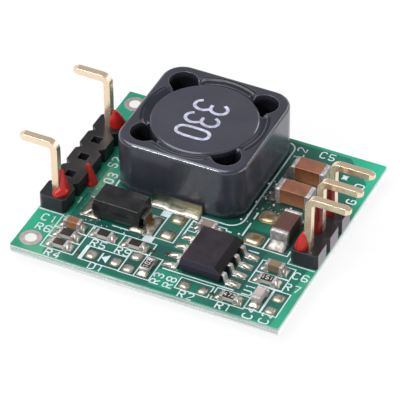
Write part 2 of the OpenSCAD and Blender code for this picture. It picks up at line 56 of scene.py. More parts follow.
def point(x, y, z=0.0):
    return TOP + Vector((x, y, z)) * MM


def middle(node):
    """Middle of a CAD node's box, in board millimetres."""
    low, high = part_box(node)
    return ((low + high) / 2 - TOP) / MM


def top_of(node):
    """Height of a node's top over the board, in millimetres."""
    return (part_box(node)[1].z - TOP.z) / MM


# Stretch that leaves the height out of a place
FLAT = Vector((1, 1, 0))


def new_object(name, data):
    """Object in the scene."""
    made = bpy.data.objects.new(name, data)
    bpy.context.scene.collection.objects.link(made)
    return made


# Camera, fitted to the photograph
VIEW_TURN = radians(25.73)
VIEW_RISE = radians(40.38)
VIEW_ROLL = radians(-0.45)
VIEW_SHIFT = (-0.071, 0.433)
VIEW_DISTANCE = 281.28
SENSOR = 36.0
PHOTO_WIDTH = 400
FOCAL_PIXELS = 3219.5
LENS = FOCAL_PIXELS / PHOTO_WIDTH * SENSOR
NEAREST = 0.01


def make_camera():
    back = Vector((
        sin(VIEW_TURN) * cos(VIEW_RISE),
        -cos(VIEW_TURN) * cos(VIEW_RISE),
        sin(VIEW_RISE),
    ))
    level = Vector((cos(VIEW_TURN), sin(VIEW_TURN), 0))
    upright = back.cross(level)
    right = cos(VIEW_ROLL) * level + sin(VIEW_ROLL) * upright
    up = cos(VIEW_ROLL) * upright - sin(VIEW_ROLL) * level
    place = point(*(VIEW_SHIFT[0] * right + VIEW_SHIFT[1] * up + VIEW_DISTANCE * back))
    data = bpy.data.cameras.new("camera")
    data.sensor_width = SENSOR
    data.lens = LENS
    data.clip_start = NEAREST
    camera = new_object("camera", data)
    camera.matrix_world = Matrix.Translation(place) @ Matrix((right, up, back)).transposed().to_4x4()
    bpy.context.scene.camera = camera


# Colours and node trees


def rgb(red, green, blue):
    """Scene colour of an 8-bit screen colour."""
    def channel(value):
        value /= 255
        return value / 12.92 if value <= 0.04045 else ((value + 0.055) / 1.055) ** 2.4
    return (channel(red), channel(green), channel(blue), 1.0)


class Nodes:
    """A node tree with short ways to add to it."""

    def __init__(self, tree):
        self.tree = tree

    def feed(self, inputs, sources):
        """Inputs, by name or number, take an output's link or a fixed value each."""
        for key, source in dict(sources).items():
            if isinstance(source, bpy.types.NodeSocket):
                self.tree.links.new(source, inputs[key])
            else:
                inputs[key].default_value = source

    def node(self, kind, inputs=(), family="ShaderNode", **settings):
        """New node with some settings and some inputs fed."""
        made = self.tree.nodes.new(family + kind)
        for key, value in settings.items():
            setattr(made, key, value)
        self.feed(made.inputs, inputs)
        return made

    def math(self, operation, *values):
        """Result of a sum with one or two numbers."""
        return self.node("Math", enumerate(values), operation=operation).outputs["Value"]

    def vector(self, operation, *values):
        """Result of a sum with one or two vectors: a number or a vector."""
        answer = "Value" if operation in ("DISTANCE", "DOT_PRODUCT") else "Vector"
        return self.node("VectorMath", enumerate(values), operation=operation).outputs[answer]

    def part(self, vector, axis):
        return self.node("SeparateXYZ", {"Vector": vector}).outputs[axis]

    def spread(self, value, low, high, to_low=0.0, to_high=1.0):
        """Value mapped from one range to another, held at the ends."""
        ends = {"From Min": low, "From Max": high, "To Min": to_low, "To Max": to_high}
        return self.node("MapRange", {"Value": value, **ends}).outputs["Result"]


# Painted edge highlights: cosines of the turn where the highlight is full and where it ends
HIGHLIGHT_TURN = 0.82
FLAT_TURN = 0.97
ROUND_SAMPLES = 6


class Shader(Nodes):
    """A material's node tree with one Principled surface."""

    def __init__(self, name, colour, rough, metal=0.0, specular=0.5):
        self.material = bpy.data.materials.new(name)
        self.material.use_nodes = True
        self.material.diffuse_color = colour
        super().__init__(self.material.node_tree)
        self.surface = self.tree.nodes["Principled BSDF"].inputs
        self.finish({
            "Base Color": colour, "Roughness": rough, "Metallic": metal, "Specular IOR Level": specular,
        })

    def finish(self, sources):
        self.feed(self.surface, sources)

    def colour(self, source):
        self.finish({"Base Color": source})

    def roughness(self, source):
        self.finish({"Roughness": source})

    def place(self, stretch=(1, 1, 1)):
        """Object coordinates, stretched."""
        plain_place = self.node("TexCoord").outputs["Object"]
        return self.node("Mapping", {"Vector": plain_place, "Scale": stretch}).outputs["Vector"]

    def noise(self, size_mm, detail=2.0, rough=0.5, stretch=(1, 1, 1)):
        """Noise with features about size_mm across."""
        return self.node("TexNoise", {
            "Vector": self.place(stretch), "Scale": 1 / (size_mm * MM), "Detail": detail, "Roughness": rough,
        }).outputs["Fac"]

    def ramp(self, value, stops):
        """Colour ramp through (position, colour) stops."""
        made = self.node("ValToRGB", {"Fac": value})
        elements = made.color_ramp.elements
        while len(elements) < len(stops):
            elements.new(0.5)
        for element, (position, colour) in zip(elements, stops):
            element.position = position
            element.color = colour
        return made.outputs["Color"]

    def blend(self, factor, first, second):
        """Mix of two colours, each a socket or a fixed colour."""
        inputs = {"Factor": factor, 6: first, 7: second}
        return self.node("Mix", inputs, data_type="RGBA").outputs[2]

    def relief(self, noise, depth, edge=0.0):
        """Bumps of a noise, with a depth in millimetres, over edges that look rounded."""
        inputs = {"Height": self.noise(*noise), "Distance": depth * MM, "Strength": 1.0}
        if edge:
            inputs["Normal"] = self.rounded(edge)
        self.finish({"Normal": self.node("Bump", inputs).outputs["Normal"]})

    def rounded(self, edge):
        """The face's direction, turned near its edges as if they were rounded."""
        return self.node("Bevel", {"Radius": edge * MM}, samples=ROUND_SAMPLES).outputs["Normal"]

    def normal(self, axis):
        """One part of the face's own direction."""
        return self.part(self.node("NewGeometry").outputs["True Normal"], axis)

    def facing_up(self, low=0.4, high=0.6):
        """1 on faces that look up or down, 0 on upright faces."""
        return self.spread(self.math("ABSOLUTE", self.normal("Z")), low, high)

    def painted_edge_highlight(self, edge, amount):
        """Share of painted highlight: high on sharp edges, none on flat faces."""
        face = self.node("NewGeometry").outputs["Normal"]
        turn = self.vector("DOT_PRODUCT", face, self.rounded(edge))
        return self.spread(turn, HIGHLIGHT_TURN, FLAT_TURN, amount, 0.0)

    def away_from(self, place, stretch=(1, 1, 1)):
        """Distance from a place, in metres."""
        return self.vector("DISTANCE", self.place(stretch), place)

    def near(self, x, y, inner_mm, outer_mm, amount):
        """Share that fades away from a place on the board, at any height."""
        away = self.away_from(point(x, y) * FLAT, FLAT)
        return self.spread(away, inner_mm * MM, outer_mm * MM, amount, 0.0)

    def along(self, axis):
        """One object coordinate, in metres."""
        return self.part(self.place(), axis)

    def height(self, low_mm, high_mm, to_low=0.0, to_high=1.0):
        """Height over the board, mapped between two levels."""
        return self.spread(self.along("Z"), TOP.z + low_mm * MM, TOP.z + high_mm * MM, to_low, to_high)


# Finishes


def mask_green(look, dark, light, corner_sheen):
    """Mottled green, with a painted sheen brighter at three corners and painted shade deeper beside the
    inductor.
    """
    green = look.ramp(look.noise(4, 3), [(0.32, dark), (0.7, light)])
    # The first three places are a painted sheen that brightens three corners; the last is painted shade
    # beside the inductor.
    for *fade, colour in (
        (14.6, 11.0, 1.5, 7.0, corner_sheen, rgb(44, 190, 150)),
        (-14.0, -6.5, 1.0, 5.0, 0.6, rgb(44, 182, 142)),
        (13.2, -12.4, 0.5, 5.0, 0.3, rgb(44, 186, 146)),
        (3.6, 4.0, 3.2, 8.5, 0.72, rgb(8, 44, 38)),
    ):
        green = look.blend(look.near(*fade), green, colour)
    return green


def solder_mask():
    """Green lacquer over the board's faces, bare glass fibre on its cut edges; the cut edges are painted
    whiter towards their foot and on the right-facing edge as painted light.
    """
    look = Shader("solder_mask", rgb(28, 138, 108), 0.3)
    # The mask's green carries mask_green's painted sheen at the corners and painted shade beside the
    # inductor.
    green = mask_green(look, rgb(24, 124, 98), rgb(36, 148, 116), corner_sheen=0.8)
    streak = look.noise(0.42, 4, 0.7, (0.035, 0.035, 2.6))
    laminate = look.ramp(streak, [
        (0.36, rgb(96, 116, 111)), (0.46, rgb(156, 173, 168)), (0.58, rgb(222, 229, 227)),
    ])
    up = look.facing_up()
    weave = look.spread(look.noise(0.16, 2, 0.5, (1, 1, 0.7)), 0.48, 0.66, 0.0, 0.45)
    laminate = look.blend(weave, laminate, rgb(126, 142, 138))
    height = look.spread(look.along("Z"), board_low.z, board_high.z)
    # Painted light: the cut edges turn near white towards the board's underside.
    laminate = look.blend(look.spread(height, 0.0, 0.45, 0.6, 0.0), laminate, rgb(250, 251, 251))
    # Painted light: the right-facing cut edge is paler, most of all near its foot.
    right = look.spread(look.normal("X"), 0.6, 0.9, 0.0, 0.85)
    pale = look.ramp(height, [(0.4, rgb(250, 252, 251)), (0.8, rgb(170, 194, 186))])
    laminate = look.blend(right, laminate, pale)
    look.colour(look.blend(up, laminate, green))
    look.roughness(look.spread(up, 0, 1, 0.75, 0.3))
    look.relief((0.6, 2), 0.004)
    return look.material


def mask_film(name, dark, light):
    """Mask over a copper field, with mask_green's painted sheen at the corners and painted shade beside the
    inductor.
    """
    look = Shader(name, dark, 0.3)
    look.colour(mask_green(look, dark, light, corner_sheen=0.25))
    look.relief((0.6, 2), 0.004)
    return look.material


INDUCTOR_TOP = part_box("inductor_ring")[1].z
OPENING_AT = 3.924
OPENING_R = 1.33
# Depths between which the openings turn dark with painted shade, and how far round them that painted shade
# ends
OPENING_SHADE = (0.7, 0.2)
OPENING_RIM = (0.02, 0.05)
FERRITE_COAT = {"Specular Tint": (0.86, 0.9, 1.0, 1.0), "Coat Weight": 0.35, "Coat Roughness": 0.17}
# Roughness from upright faces, over the rounded edge, to the top
FERRITE_GLOSS = [(0.04, 0.3), (0.25, 0.19), (0.9, 0.19), (0.98, 0.28)]


def outside_openings(look):
    """1 on the ferrite's outer faces, 0 down in its four corner openings, where the painted shade goes."""
    centre = middle("inductor_ring")
    offset = look.vector("SUBTRACT", look.place(FLAT), point(centre.x, centre.y) * FLAT)
    corner = look.vector("ABSOLUTE", offset)
    away = look.vector("DISTANCE", corner, OPENING_AT * MM * FLAT)
    outside = look.spread(away, *((OPENING_R + rim) * MM for rim in OPENING_RIM))
    shallow = look.spread(look.along("Z"), *(INDUCTOR_TOP - shade * MM for shade in OPENING_SHADE))
    return look.math("MAXIMUM", shallow, outside)


def ferrite(name, dark, light):
    """Dark lacquered ferrite with fine pits and glossy edges; its upright faces are painted lighter towards
    the top as painted light, its sharp edges carry painted highlights, and it is painted black inside the
    corner openings as painted shade.
    """
    look = Shader(name, dark, 0.28, specular=0.8)
    look.finish(FERRITE_COAT)
    grey = look.ramp(look.noise(2.5, 3), [(0.3, dark), (0.7, light)])
    # Painted light: upright faces turn lighter and bluer towards the top.
    streak = look.noise(1.2, 3, 0.5, (1, 1, 0.15))
    side = look.ramp(streak, [(0.3, rgb(46, 46, 57)), (0.7, rgb(62, 62, 73))])
    upright = look.spread(look.facing_up(0.0, 0.3), 0, 1, 1.0, 0.0)
    grey = look.blend(look.math("MULTIPLY", look.height(0.6, 2.4, 0.1, 1.0), upright), grey, side)
    grey = look.blend(look.spread(look.noise(0.22, 1), 0.8, 0.84), grey, rgb(104, 104, 112))
    # Painted highlight along the sharp edges of the openings and rims.
    grey = look.blend(look.painted_edge_highlight(0.12, 0.4), grey, rgb(156, 156, 168))
    # Painted shade: black down inside the corner openings.
    look.colour(look.blend(outside_openings(look), rgb(28, 28, 34), grey))
    gloss = [(up, (rough, rough, rough, 1.0)) for up, rough in FERRITE_GLOSS]
    look.roughness(look.ramp(look.facing_up(0.0, 1.0), gloss))
    look.relief((0.5, 3), 0.0015, 0.1)
    return look.material


def corner_tin():
    """Tinned hole: a dull ring round a barrel made near white as painted light."""
    look = Shader("corner_tin", rgb(200, 188, 190), 0.4, 1.0)
    up = look.facing_up()
    ring = look.ramp(look.noise(0.6, 3), [(0.3, rgb(180, 168, 171)), (0.7, rgb(208, 196, 199))])
    # Painted light: the upright barrel is made near white, while the flat ring stays dull.
    look.colour(look.blend(up, rgb(252, 250, 248), ring))
    look.roughness(look.spread(up, 0, 1, 0.14, 0.42))
    return look.material


def plate_tin():
    """Tinned sheet: a painted reflection runs from grey green at its left to paler at its right, and painted
    shade darkens its top.
    """
    look = Shader("plate_tin", rgb(120, 124, 108), 0.34, 0.6)
    low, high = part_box("terminal_front")
    # Painted reflection: grey green at the left, paler to the right.
    front = look.ramp(look.spread(look.along("X"), low.x, high.x), [
        (0.0, rgb(60, 74, 68)), (0.3, rgb(70, 84, 76)),
        (0.6, rgb(94, 97, 85)), (1.0, rgb(142, 135, 108)),
    ])
    stain = look.spread(look.noise(0.5, 3), 0.42, 0.62, 0.0, 0.4)
    stained = look.blend(stain, front, rgb(110, 104, 84))
    # Painted shade: the top face is darkened.
    look.colour(look.blend(look.facing_up(), stained, rgb(34, 35, 36)))
    look.relief((0.4, 3), 0.006, 0.03)
    return look.material


# Amber flux: middles and radii of the stained places
FLUX_SPOTS = [
    (6.2, 0.85, 0.2, 0.7), (6.3, -2.1, 0.2, 0.62), (-2.95, -3.9, 0.5, 0.7), (-2.8, -4.3, 0.25, 0.6),
    (-0.85, -2.2, 0.1, 0.42), (-0.85, -4.3, 0.15, 0.5),
]
FLUX_CORE = 0.3
FLUX_SHARE = 0.85


def solder(name, bright, dull, rough, rim_tan=True):
    """Tin-lead metal, tan at its low rim where asked, with amber flux in a few places."""
    look = Shader(name, bright, rough, 1.0)
    silver = look.ramp(look.noise(0.4, 3, 0.6), [(0.34, dull), (0.6, bright)])
    if rim_tan:
        stain = look.ramp(look.noise(1.6, 2), [(0.45, rgb(128, 122, 110)), (0.65, rgb(134, 112, 70))])
        silver = look.blend(look.height(0.05, 0.12), stain, silver)
    for x, y, z, radius in FLUX_SPOTS:
        away = look.away_from(point(x, y, z))
        film = look.spread(away, radius * FLUX_CORE * MM, radius * MM, FLUX_SHARE, 0.0)
        silver = look.blend(film, silver, rgb(146, 108, 36))
    look.colour(silver)
    look.relief((0.22, 2), 0.012, 0.05)
    return look.material


def header_plastic(name, right_sheen):
    """Black satin plastic, its right sides paler with a painted reflection where asked, its front faces
    painted bluish as painted light, and painted highlights on its edges.
    """
    look = Shader(name, rgb(26, 24, 28), 0.42, specular=0.36)
    # Painted reflection: right-facing faces turn paler by the given share.
    right = look.spread(look.normal("X"), 0.9, 0.98, 0.0, right_sheen)
    black = look.ramp(look.noise(1.5, 4), [(0.35, rgb(17, 15, 18)), (0.65, rgb(28, 25, 29))])
    # Painted light: front faces turn bluish grey.
    front = look.spread(look.normal("Y"), -0.98, -0.9, 0.7, 0.0)
    black = look.blend(front, black, rgb(44, 48, 54))
    # Painted highlight along the sharp edges.
    black = look.blend(look.painted_edge_highlight(0.2, 0.6), black, rgb(88, 82, 86))
    look.colour(look.blend(right, black, rgb(138, 133, 142)))
    look.roughness(look.spread(look.noise(1.2, 3), 0.3, 0.7, 0.36, 0.5))
    look.relief((0.5, 3), 0.004, 0.06)
    return look.material


# Height of the line where the chip's two mould halves meet
MOULD_LINE = 0.9


def mould_compound():
    """Black moulding: a dull brownish top with faint rub marks; its sides painted bluish, lighter above the
    mould line and darkest on the right as painted light and shade, with painted highlights on its edges.
    """
    look = Shader("mould_compound", rgb(40, 36, 40), 0.42, specular=0.16)
    top = look.ramp(look.noise(1.2, 4, 0.6), [(0.35, rgb(42, 37, 43)), (0.65, rgb(52, 46, 53))])
    up = look.facing_up(0.88, 0.96)
    # Painted light and shade on the sides: bluish, lighter above the mould line, darkest on the right.
    right = look.spread(look.normal("X"), 0.2, 0.5)
    upper_half = look.height(MOULD_LINE, MOULD_LINE + 0.1)
    side = look.blend(upper_half, rgb(36, 34, 44), rgb(51, 48, 61))
    side = look.blend(right, side, rgb(12, 9, 15))
    body = look.blend(up, side, top)
    # Painted highlight along the sharp edges.
    look.colour(look.blend(look.painted_edge_highlight(0.09, 0.6), body, rgb(96, 90, 98)))
    look.roughness(look.spread(up, 0, 1, 0.4, 0.45))
    look.relief((0.12, 3), 0.004, 0.03)
    return look.material


# Plain finishes: sizes of the drifts of colour and gloss in grains, the drift of gloss, and the strength of
# the painted edge highlights
TONE_GRAINS = 6
GLOSS_GRAINS = 4
GLOSS_SHIFT = 0.15
EDGE_HIGHLIGHT = 0.8


def plain(name, colour, rough, metal=0.0, edge=0.04, grain=0.3, depth=0.003, shift=0.12, highlight_colour=None):
    """Surface with soft edges, a fine grain, a drift of its colour and, where asked, edges made paler as a
    painted highlight.
    """
    look = Shader(name, colour, rough, metal)
    dark = tuple(value * (1 - shift) for value in colour[:3]) + (1.0,)
    light = tuple(min(1.0, value * (1 + shift)) for value in colour[:3]) + (1.0,)
    tone = look.ramp(look.noise(grain * TONE_GRAINS, 3), [(0.3, dark), (0.7, light)])
    # Painted highlight: sharp edges blend towards the given highlight colour.
    if highlight_colour:
        tone = look.blend(look.painted_edge_highlight(edge, EDGE_HIGHLIGHT), tone, highlight_colour)
    look.colour(tone)
    gloss = look.noise(grain * GLOSS_GRAINS, 2)
    look.roughness(look.spread(gloss, 0.3, 0.7, rough * (1 - GLOSS_SHIFT), rough * (1 + GLOSS_SHIFT)))
    look.relief((grain, 3), depth, edge)
    return look.material


def brown_ceramic():
    """Fired ceramic: reddish brown on top, its sides paler and more orange towards the board, with painted
    highlights on its edges.
    """
    look = Shader("brown_ceramic", rgb(126, 80, 58), 0.36)
    top = look.ramp(look.noise(1.2, 3), [(0.3, rgb(114, 72, 52)), (0.7, rgb(140, 90, 66))])
    side = look.ramp(look.height(0.2, 1.6), [(0.0, rgb(176, 122, 84)), (1.0, rgb(118, 64, 38))])
    blotch = look.spread(look.noise(0.5, 3), 0.5, 0.7, 0.0, 0.3)
    body = look.blend(look.facing_up(), look.blend(blotch, side, rgb(96, 56, 38)), top)
    # Painted highlight along the sharp edges.
    look.colour(look.blend(look.painted_edge_highlight(0.1, 0.8), body, rgb(226, 168, 136)))
    look.roughness(look.spread(look.noise(0.8, 2), 0.3, 0.7, 0.3, 0.42))
    look.relief((0.3, 3), 0.003, 0.1)
    return look.material


MATERIALS = {
    "solder_mask": solder_mask(),
    "ferrite": ferrite("ferrite", rgb(31, 31, 42), rgb(41, 41, 54)),
    "tin": solder("tin", rgb(200, 193, 189), rgb(166, 156, 150), 0.34, rim_tan=False),
    "solder": solder("solder", rgb(204, 200, 191), rgb(150, 144, 131), 0.4),
    "copper": plain("copper", rgb(84, 44, 28), 0.4, 0.6),
    "glue": plain("glue", rgb(21, 24, 37), 0.2, edge=0, grain=0.5),
    "header_plastic": header_plastic("header_plastic", right_sheen=0.0),
    # Gold: the colour given for the edges is a painted highlight.
    "gold": plain(
        "gold", rgb(248, 223, 194), 0.2, 0.9, edge=0.07, grain=1.6, depth=0.0004, shift=0.06,
        highlight_colour=rgb(255, 242, 220)),
    "lacquer": plain(
        "lacquer", rgb(178, 26, 20), 0.26, edge=0, grain=0.8, depth=0.006, shift=0.2),
    "mould_compound": mould_compound(),
    "brown_ceramic": brown_ceramic(),
    # Dark ceramic: the colour given for the edges is a painted highlight.
    "dark_ceramic": plain(
        "dark_ceramic", rgb(83, 54, 46), 0.36, edge=0.08, shift=0.2, highlight_colour=rgb(150, 120, 108)),
    "pale_ceramic": plain("pale_ceramic", rgb(170, 160, 156), 0.45),
    "white_ceramic": plain("white_ceramic", rgb(196, 190, 182), 0.5),
    "resistor_coat": plain("resistor_coat", rgb(26, 18, 18), 0.45),
}
# Chip ends: the colour given for the edges is a painted highlight.
CHIP_ENDS = plain(
    "chip_ends", rgb(172, 167, 167), 0.42, 0.35, edge=0.08, grain=0.06, depth=0.006, shift=0.4,
    highlight_colour=rgb(218, 215, 216))
CORNER_TIN = corner_tin()
PLATE_TIN = plate_tin()
OWN_FINISH = {
    # Diode: the colour given for the edges is a painted highlight.
    "diode_body": plain(
        "diode_black", rgb(23, 22, 25), 0.24, edge=0.07, grain=0.2, shift=0.8,
        highlight_colour=rgb(104, 104, 110)),
    "diode_leads": solder("diode_tin", rgb(150, 142, 136), rgb(112, 100, 86), 0.42, rim_tan=False),
    "corner_hole_front": CORNER_TIN, "corner_hole_back": CORNER_TIN,
    "inductor_core": ferrite("core_ferrite", rgb(42, 42, 54), rgb(51, 51, 64)),
    "terminal_front": PLATE_TIN, "terminal_back": PLATE_TIN,
    "control_chip_leads": plain("lead_tin", rgb(226, 216, 212), 0.32, 0.8, edge=0.05),
    # The right strip's right faces get a painted reflection that makes them paler.
    "header_right": header_plastic("header_rubbed", right_sheen=0.85),
    "small_cap_right": plain("beige_ceramic", rgb(126, 108, 86), 0.4),
    "small_cap_inner": plain("tan_ceramic", rgb(138, 118, 110), 0.45),
}


def dress_nodes():
    """Finishes of the CAD nodes: their slot's own, unless the node has one to itself."""
    slots = {row["node"]: row["material_slot"] for row in frame["record"]["subparts"]}
    for name, shape in frame["nodes"].items():
        finish = OWN_FINISH.get(name, MATERIALS[slots[name]])
        if name.endswith("_ends"):
            finish = CHIP_ENDS
        shape.data.materials.clear()
        shape.data.materials.append(finish)


# Added pieces

SHARP_TURN = radians(65)


def link_piece(name, mesh, material, slot=None, replaces=None, smooth=True, creased=False):
    """Object at the origin that rides on the part; where creased, its sharp turns stay sharp."""
    mesh.name = name
    mesh.polygons.foreach_set("use_smooth", [smooth] * len(mesh.polygons))
    if creased:
        mesh.set_sharp_from_angle(angle=SHARP_TURN)
    mesh.materials.clear()
    mesh.materials.append(material)
    piece = new_object(name, mesh)
    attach(piece, "root")
    if replaces:
        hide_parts(replaces)


class Heap:
    """Vertices and faces of many shapes in board millimetres, gathered for one mesh."""

    def __init__(self, vertices=()):
        self.vertices = list(vertices)
        self.faces = []

    def add(self, vertices, faces):
        start = len(self.vertices)
        self.vertices.extend(vertices)
        self.faces.extend(tuple(start + i for i in face) for face in faces)

    def field(self, outline, z):
        """Flat face at one height."""
        self.add([(x, y, z) for x, y in outline], [tuple(range(len(outline)))])

    def mesh(self, edges=()):
        made = bpy.data.meshes.new("heap")
        made.from_pydata([tuple(point(*v)) for v in self.vertices], list(edges), self.faces)
        made.update()
        return made

    def build(self, name, material, **options):
        link_piece(name, self.mesh(), material, **options)


def settled(mesh, modify):
    """Mesh of a passing object once the modifiers that modify() gives it are worked out."""
    passing = new_object("passing", mesh)
    modify(passing)
    bpy.context.view_layer.update()
    done = bpy.data.meshes.new_from_object(passing.evaluated_get(bpy.context.evaluated_depsgraph_get()))
    bpy.data.objects.remove(passing)
    return done


class Tree(Nodes):
    """A node tree that makes geometry, with named inputs."""

    def __init__(self, name, **inputs):
        super().__init__(bpy.data.node_groups.new(name, "GeometryNodeTree"))
        face = self.tree.interface
        face.new_socket("Geometry", in_out="INPUT", socket_type="NodeSocketGeometry")
        self.sockets = {}
        for label, kind in inputs.items():
            socket = face.new_socket(label, in_out="INPUT", socket_type="NodeSocket" + kind)
            self.sockets[label] = socket.identifier
        face.new_socket("Geometry", in_out="OUTPUT", socket_type="NodeSocketGeometry")
        self.start = self.node("GroupInput", family="Node").outputs
        self.end = self.node("GroupOutput", family="Node").inputs

    def shape(self, kind, inputs=(), **settings):
        """Outputs of a node that works on shapes."""
        return self.node(kind, inputs, "GeometryNode", **settings).outputs

    def finish(self, geometry, material):
        """Plain faces of one material."""
        whole = self.shape("RealizeInstances", {"Geometry": geometry})["Geometry"]
        dressed = self.shape("SetMaterial", {"Geometry": whole, "Material": material})
        self.feed(self.end, {"Geometry": dressed["Geometry"]})
        return self

    def chance(self, low, high):
        """Number drawn for each point, between two limits."""
        inputs = {2: low, 3: high, "Seed": self.start["Seed"]}
        return self.node("RandomValue", inputs, "FunctionNode", data_type="FLOAT").outputs[1]

    def grow(self, mesh, **values):
        """Mesh that the tree makes from a mesh, with its inputs set."""
        def modify(passing):
            modifier = passing.modifiers.new("grow", "NODES")
            modifier.node_group = self.tree
            for label, value in values.items():
                modifier[self.sockets[label]] = value
        return settled(mesh, modify)


def turned(x, y, degrees):
    angle = radians(degrees)
    return x * cos(angle) - y * sin(angle), x * sin(angle) + y * cos(angle)


def grid_faces(rows, columns, wrap=False):
    """Quads between rows of points."""
    last = columns if wrap else columns - 1
    faces = []
    for r in range(rows - 1):
        for c in range(last):
            here, beside = r * columns + c, r * columns + (c + 1) % columns
            faces.append((here + columns, beside + columns, beside, here))
    return faces


# Strokes: lines and letters of print, each a flat ribbon along its own path

STROKE_STEP = 0.0008
STROKE_LEVELS = 8


def stroke_tree(material):
    """Flat ribbons along the edges of a mesh."""
    tree = Tree("printed_strokes", Width="Float")
    path = tree.shape("MeshToCurve", {"Mesh": tree.start["Geometry"]})["Curve"]
    flat = tree.shape("SetCurveNormal", {"Curve": path}, mode="Z_UP")["Curve"]
    ends = {}
    for end, share in (("Start", -0.5), ("End", 0.5)):
        aside = tree.math("MULTIPLY", tree.start["Width"], share)
        ends[end] = tree.node("CombineXYZ", {"X": aside}).outputs["Vector"]
    nib = tree.shape("CurvePrimitiveLine", ends)["Curve"]
    sweep = tree.shape("CurveToMesh", {"Curve": flat, "Profile Curve": nib})["Mesh"]
    return tree.finish(sweep, material)


class Print:
    """Strokes gathered for one piece; each lies a hair above the last, so that none share a plane."""

    def __init__(self, z):
        self.z = z
        self.points = []
        self.edges = []
        self.count = 0

    def line(self, points, closed=False):
        start = len(self.points)
        level = self.z + STROKE_STEP * (self.count % STROKE_LEVELS)
        self.points.extend((x, y, level) for x, y in points)
        self.edges.extend((i, i + 1) for i in range(start, len(self.points) - 1))
        if closed:
            self.edges.append((len(self.points) - 1, start))
        self.count += 1

    def letters(self, text, at, height, turn, wide=0.62, gap=0.6, curl=0):
        """Text in strokes, centred at a place and turned about it; curl rounds its corners."""
        cell = height * wide
        step = cell * (1 + gap)
        start = -(len(text) * step - cell * gap) / 2
        for i, letter in enumerate(text):
            for strokes in GLYPHS[letter].split("|"):
                path = []
                for pair in strokes.split():
                    x = start + i * step + int(pair[0]) / GLYPH_WIDE * cell
                    y = (int(pair[1]) / GLYPH_TALL - 0.5) * height
                    across, deep = turned(x, y, turn)
                    path.append((at[0] + across, at[1] + deep))
                closed = path[0] == path[-1]
                self.line(smoothed(path[:-1] if closed else path, curl, closed), closed)

    def build(self, name, material, width):
        mesh = stroke_tree(material).grow(Heap(self.points).mesh(self.edges), Width=width * MM)
        link_piece(name, mesh, material, smooth=False)


def smoothed(line, passes, closed):
    """Line with its corners cut."""
    for _ in range(passes):
        after = line[1:] + line[:1] if closed else line[1:]
        cut = []
        for a, b in zip(line, after):
            cut.append((0.75 * a[0] + 0.25 * b[0], 0.75 * a[1] + 0.25 * b[1]))
            cut.append((0.25 * a[0] + 0.75 * b[0], 0.25 * a[1] + 0.75 * b[1]))
        line = cut if closed else [line[0]] + cut[1:-1] + [line[-1]]
    return line


# Stroke letters on a grid: each pair is one point, a bar lifts the pen
GLYPH_WIDE = 4
GLYPH_TALL = 6
GLYPHS = {
    "0": "10 01 05 16 36 45 41 30 10",
    "1": "15 26 20",
    "2": "05 16 36 45 44 00 40",
    "3": "05 16 36 45 44 33 13 | 33 42 41 30 10 01",
    "4": "30 36 02 | 02 42",
    "5": "46 06 03 33 42 41 30 10 01",
    "6": "45 36 16 05 01 10 30 41 42 33 | 33 03",
    "7": "06 46 20",
    "8": "13 04 05 16 36 45 44 33 13 | 13 02 01 10 30 41 42 33",
    "9": "01 10 30 41 45 36 16 05 04 13 | 13 43",
    "C": "45 36 16 05 01 10 30 41",
    "D": "00 06 26 45 41 20 00",
    "G": "45 36 16 05 01 10 30 41 43 23",
    "L": "06 00 40",
    "R": "00 06 36 45 44 33 | 33 03 | 23 40",
    "S": "45 36 16 05 04 13 33 42 41 30 10 01",
    "U": "06 01 10 30 41 46",
    "*": "03 43 | 25 21 | 05 41 | 45 01",
}

# Printed legend on the board

LEGEND_Z = 0.012
NAMES_Z = 0.02
LEGEND_LINE = 0.15
LETTER_TALL = 0.82
LETTER_LINE = 0.14
ARC_STEPS = 6


def frames(*boxes):
    """Corners of rectangles, each given as (left, front, right, back)."""
    return [[(a, b), (c, b), (c, d), (a, d)] for a, b, c, d in boxes]


def arc(centre, radius, start, end):
    """Points of an arc, in degrees."""
    angles = [radians(start + (end - start) * i / ARC_STEPS) for i in range(ARC_STEPS + 1)]
    return [(centre[0] + radius * cos(a), centre[1] + radius * sin(a)) for a in angles]


CELLS = frames(
    (-10.25, -10.65, -7.15, -6.4), (-7.0, -7.9, -4.15, -6.4), (-4.15, -7.9, -1.15, -6.4),
    (-6.5, -10.8, -2.7, -8.95), (-2.7, -10.85, -1.25, -7.95), (-1.25, -10.85, 0.2, -7.95),
    (2.6, -10.7, 5.65, -9.25), (5.95, -10.7, 9.0, -9.15), (9.0, -10.5, 10.4, -7.4),
    (10.5, -10.5, 11.95, -7.4), (7.95, -5.8, 11.05, -4.3), (7.95, -7.3, 11.05, -5.85),
    (-1.85, -5.6, 0.0, -2.0),
)
INDUCTOR_LINE = (
    arc((3.45, 10.2), 0.9, 80, 0) + [(4.35, 0.2)]
    + arc((3.1, -0.2), 1.25, 0, -90) + [(-6.9, -1.45)]
    + arc((-7.0, -0.55), 0.9, -90, -180) + [(-7.9, 9.6)]
)
LINES = [
    [(-10.25, -7.9), (-7.15, -7.9)], [(-10.25, -9.2), (-7.15, -9.2)],
    [(-4.8, -10.45), (-4.8, -9.3)], [(-5.8, -5.72), (-2.6, -5.72)], [(0.35, -4.4), (0.35, -2.1)],
    [(0.6, -8.9), (7.3, -8.9)], [(6.3, -3.7), (7.3, -3.7)],
    [(2.3, -1.95), (3.4, -1.95), (3.5, -2.2), (4.0, -2.2)],
    [(5.0, -3.05), (9.65, -3.05), (9.65, -2.3)], [(7.3, -3.05), (7.3, -1.5)], [(5.0, -2.2), (5.0, -0.35)],
    [(5.0, 0.2), (5.0, 1.2)], [(4.95, 4.9), (4.95, 6.4)], [(-12.6, -6.3), (-10.2, -6.3)],
    [(10.05, -2.9), (10.05, -3.85), (12.6, -3.85)],
    INDUCTOR_LINE,
]
BLOCKS = frames((-2.6, -2.75, -1.75, -2.0), (-2.65, -6.4, -1.7, -5.6), (-6.6, -10.8, -6.25, -8.95))
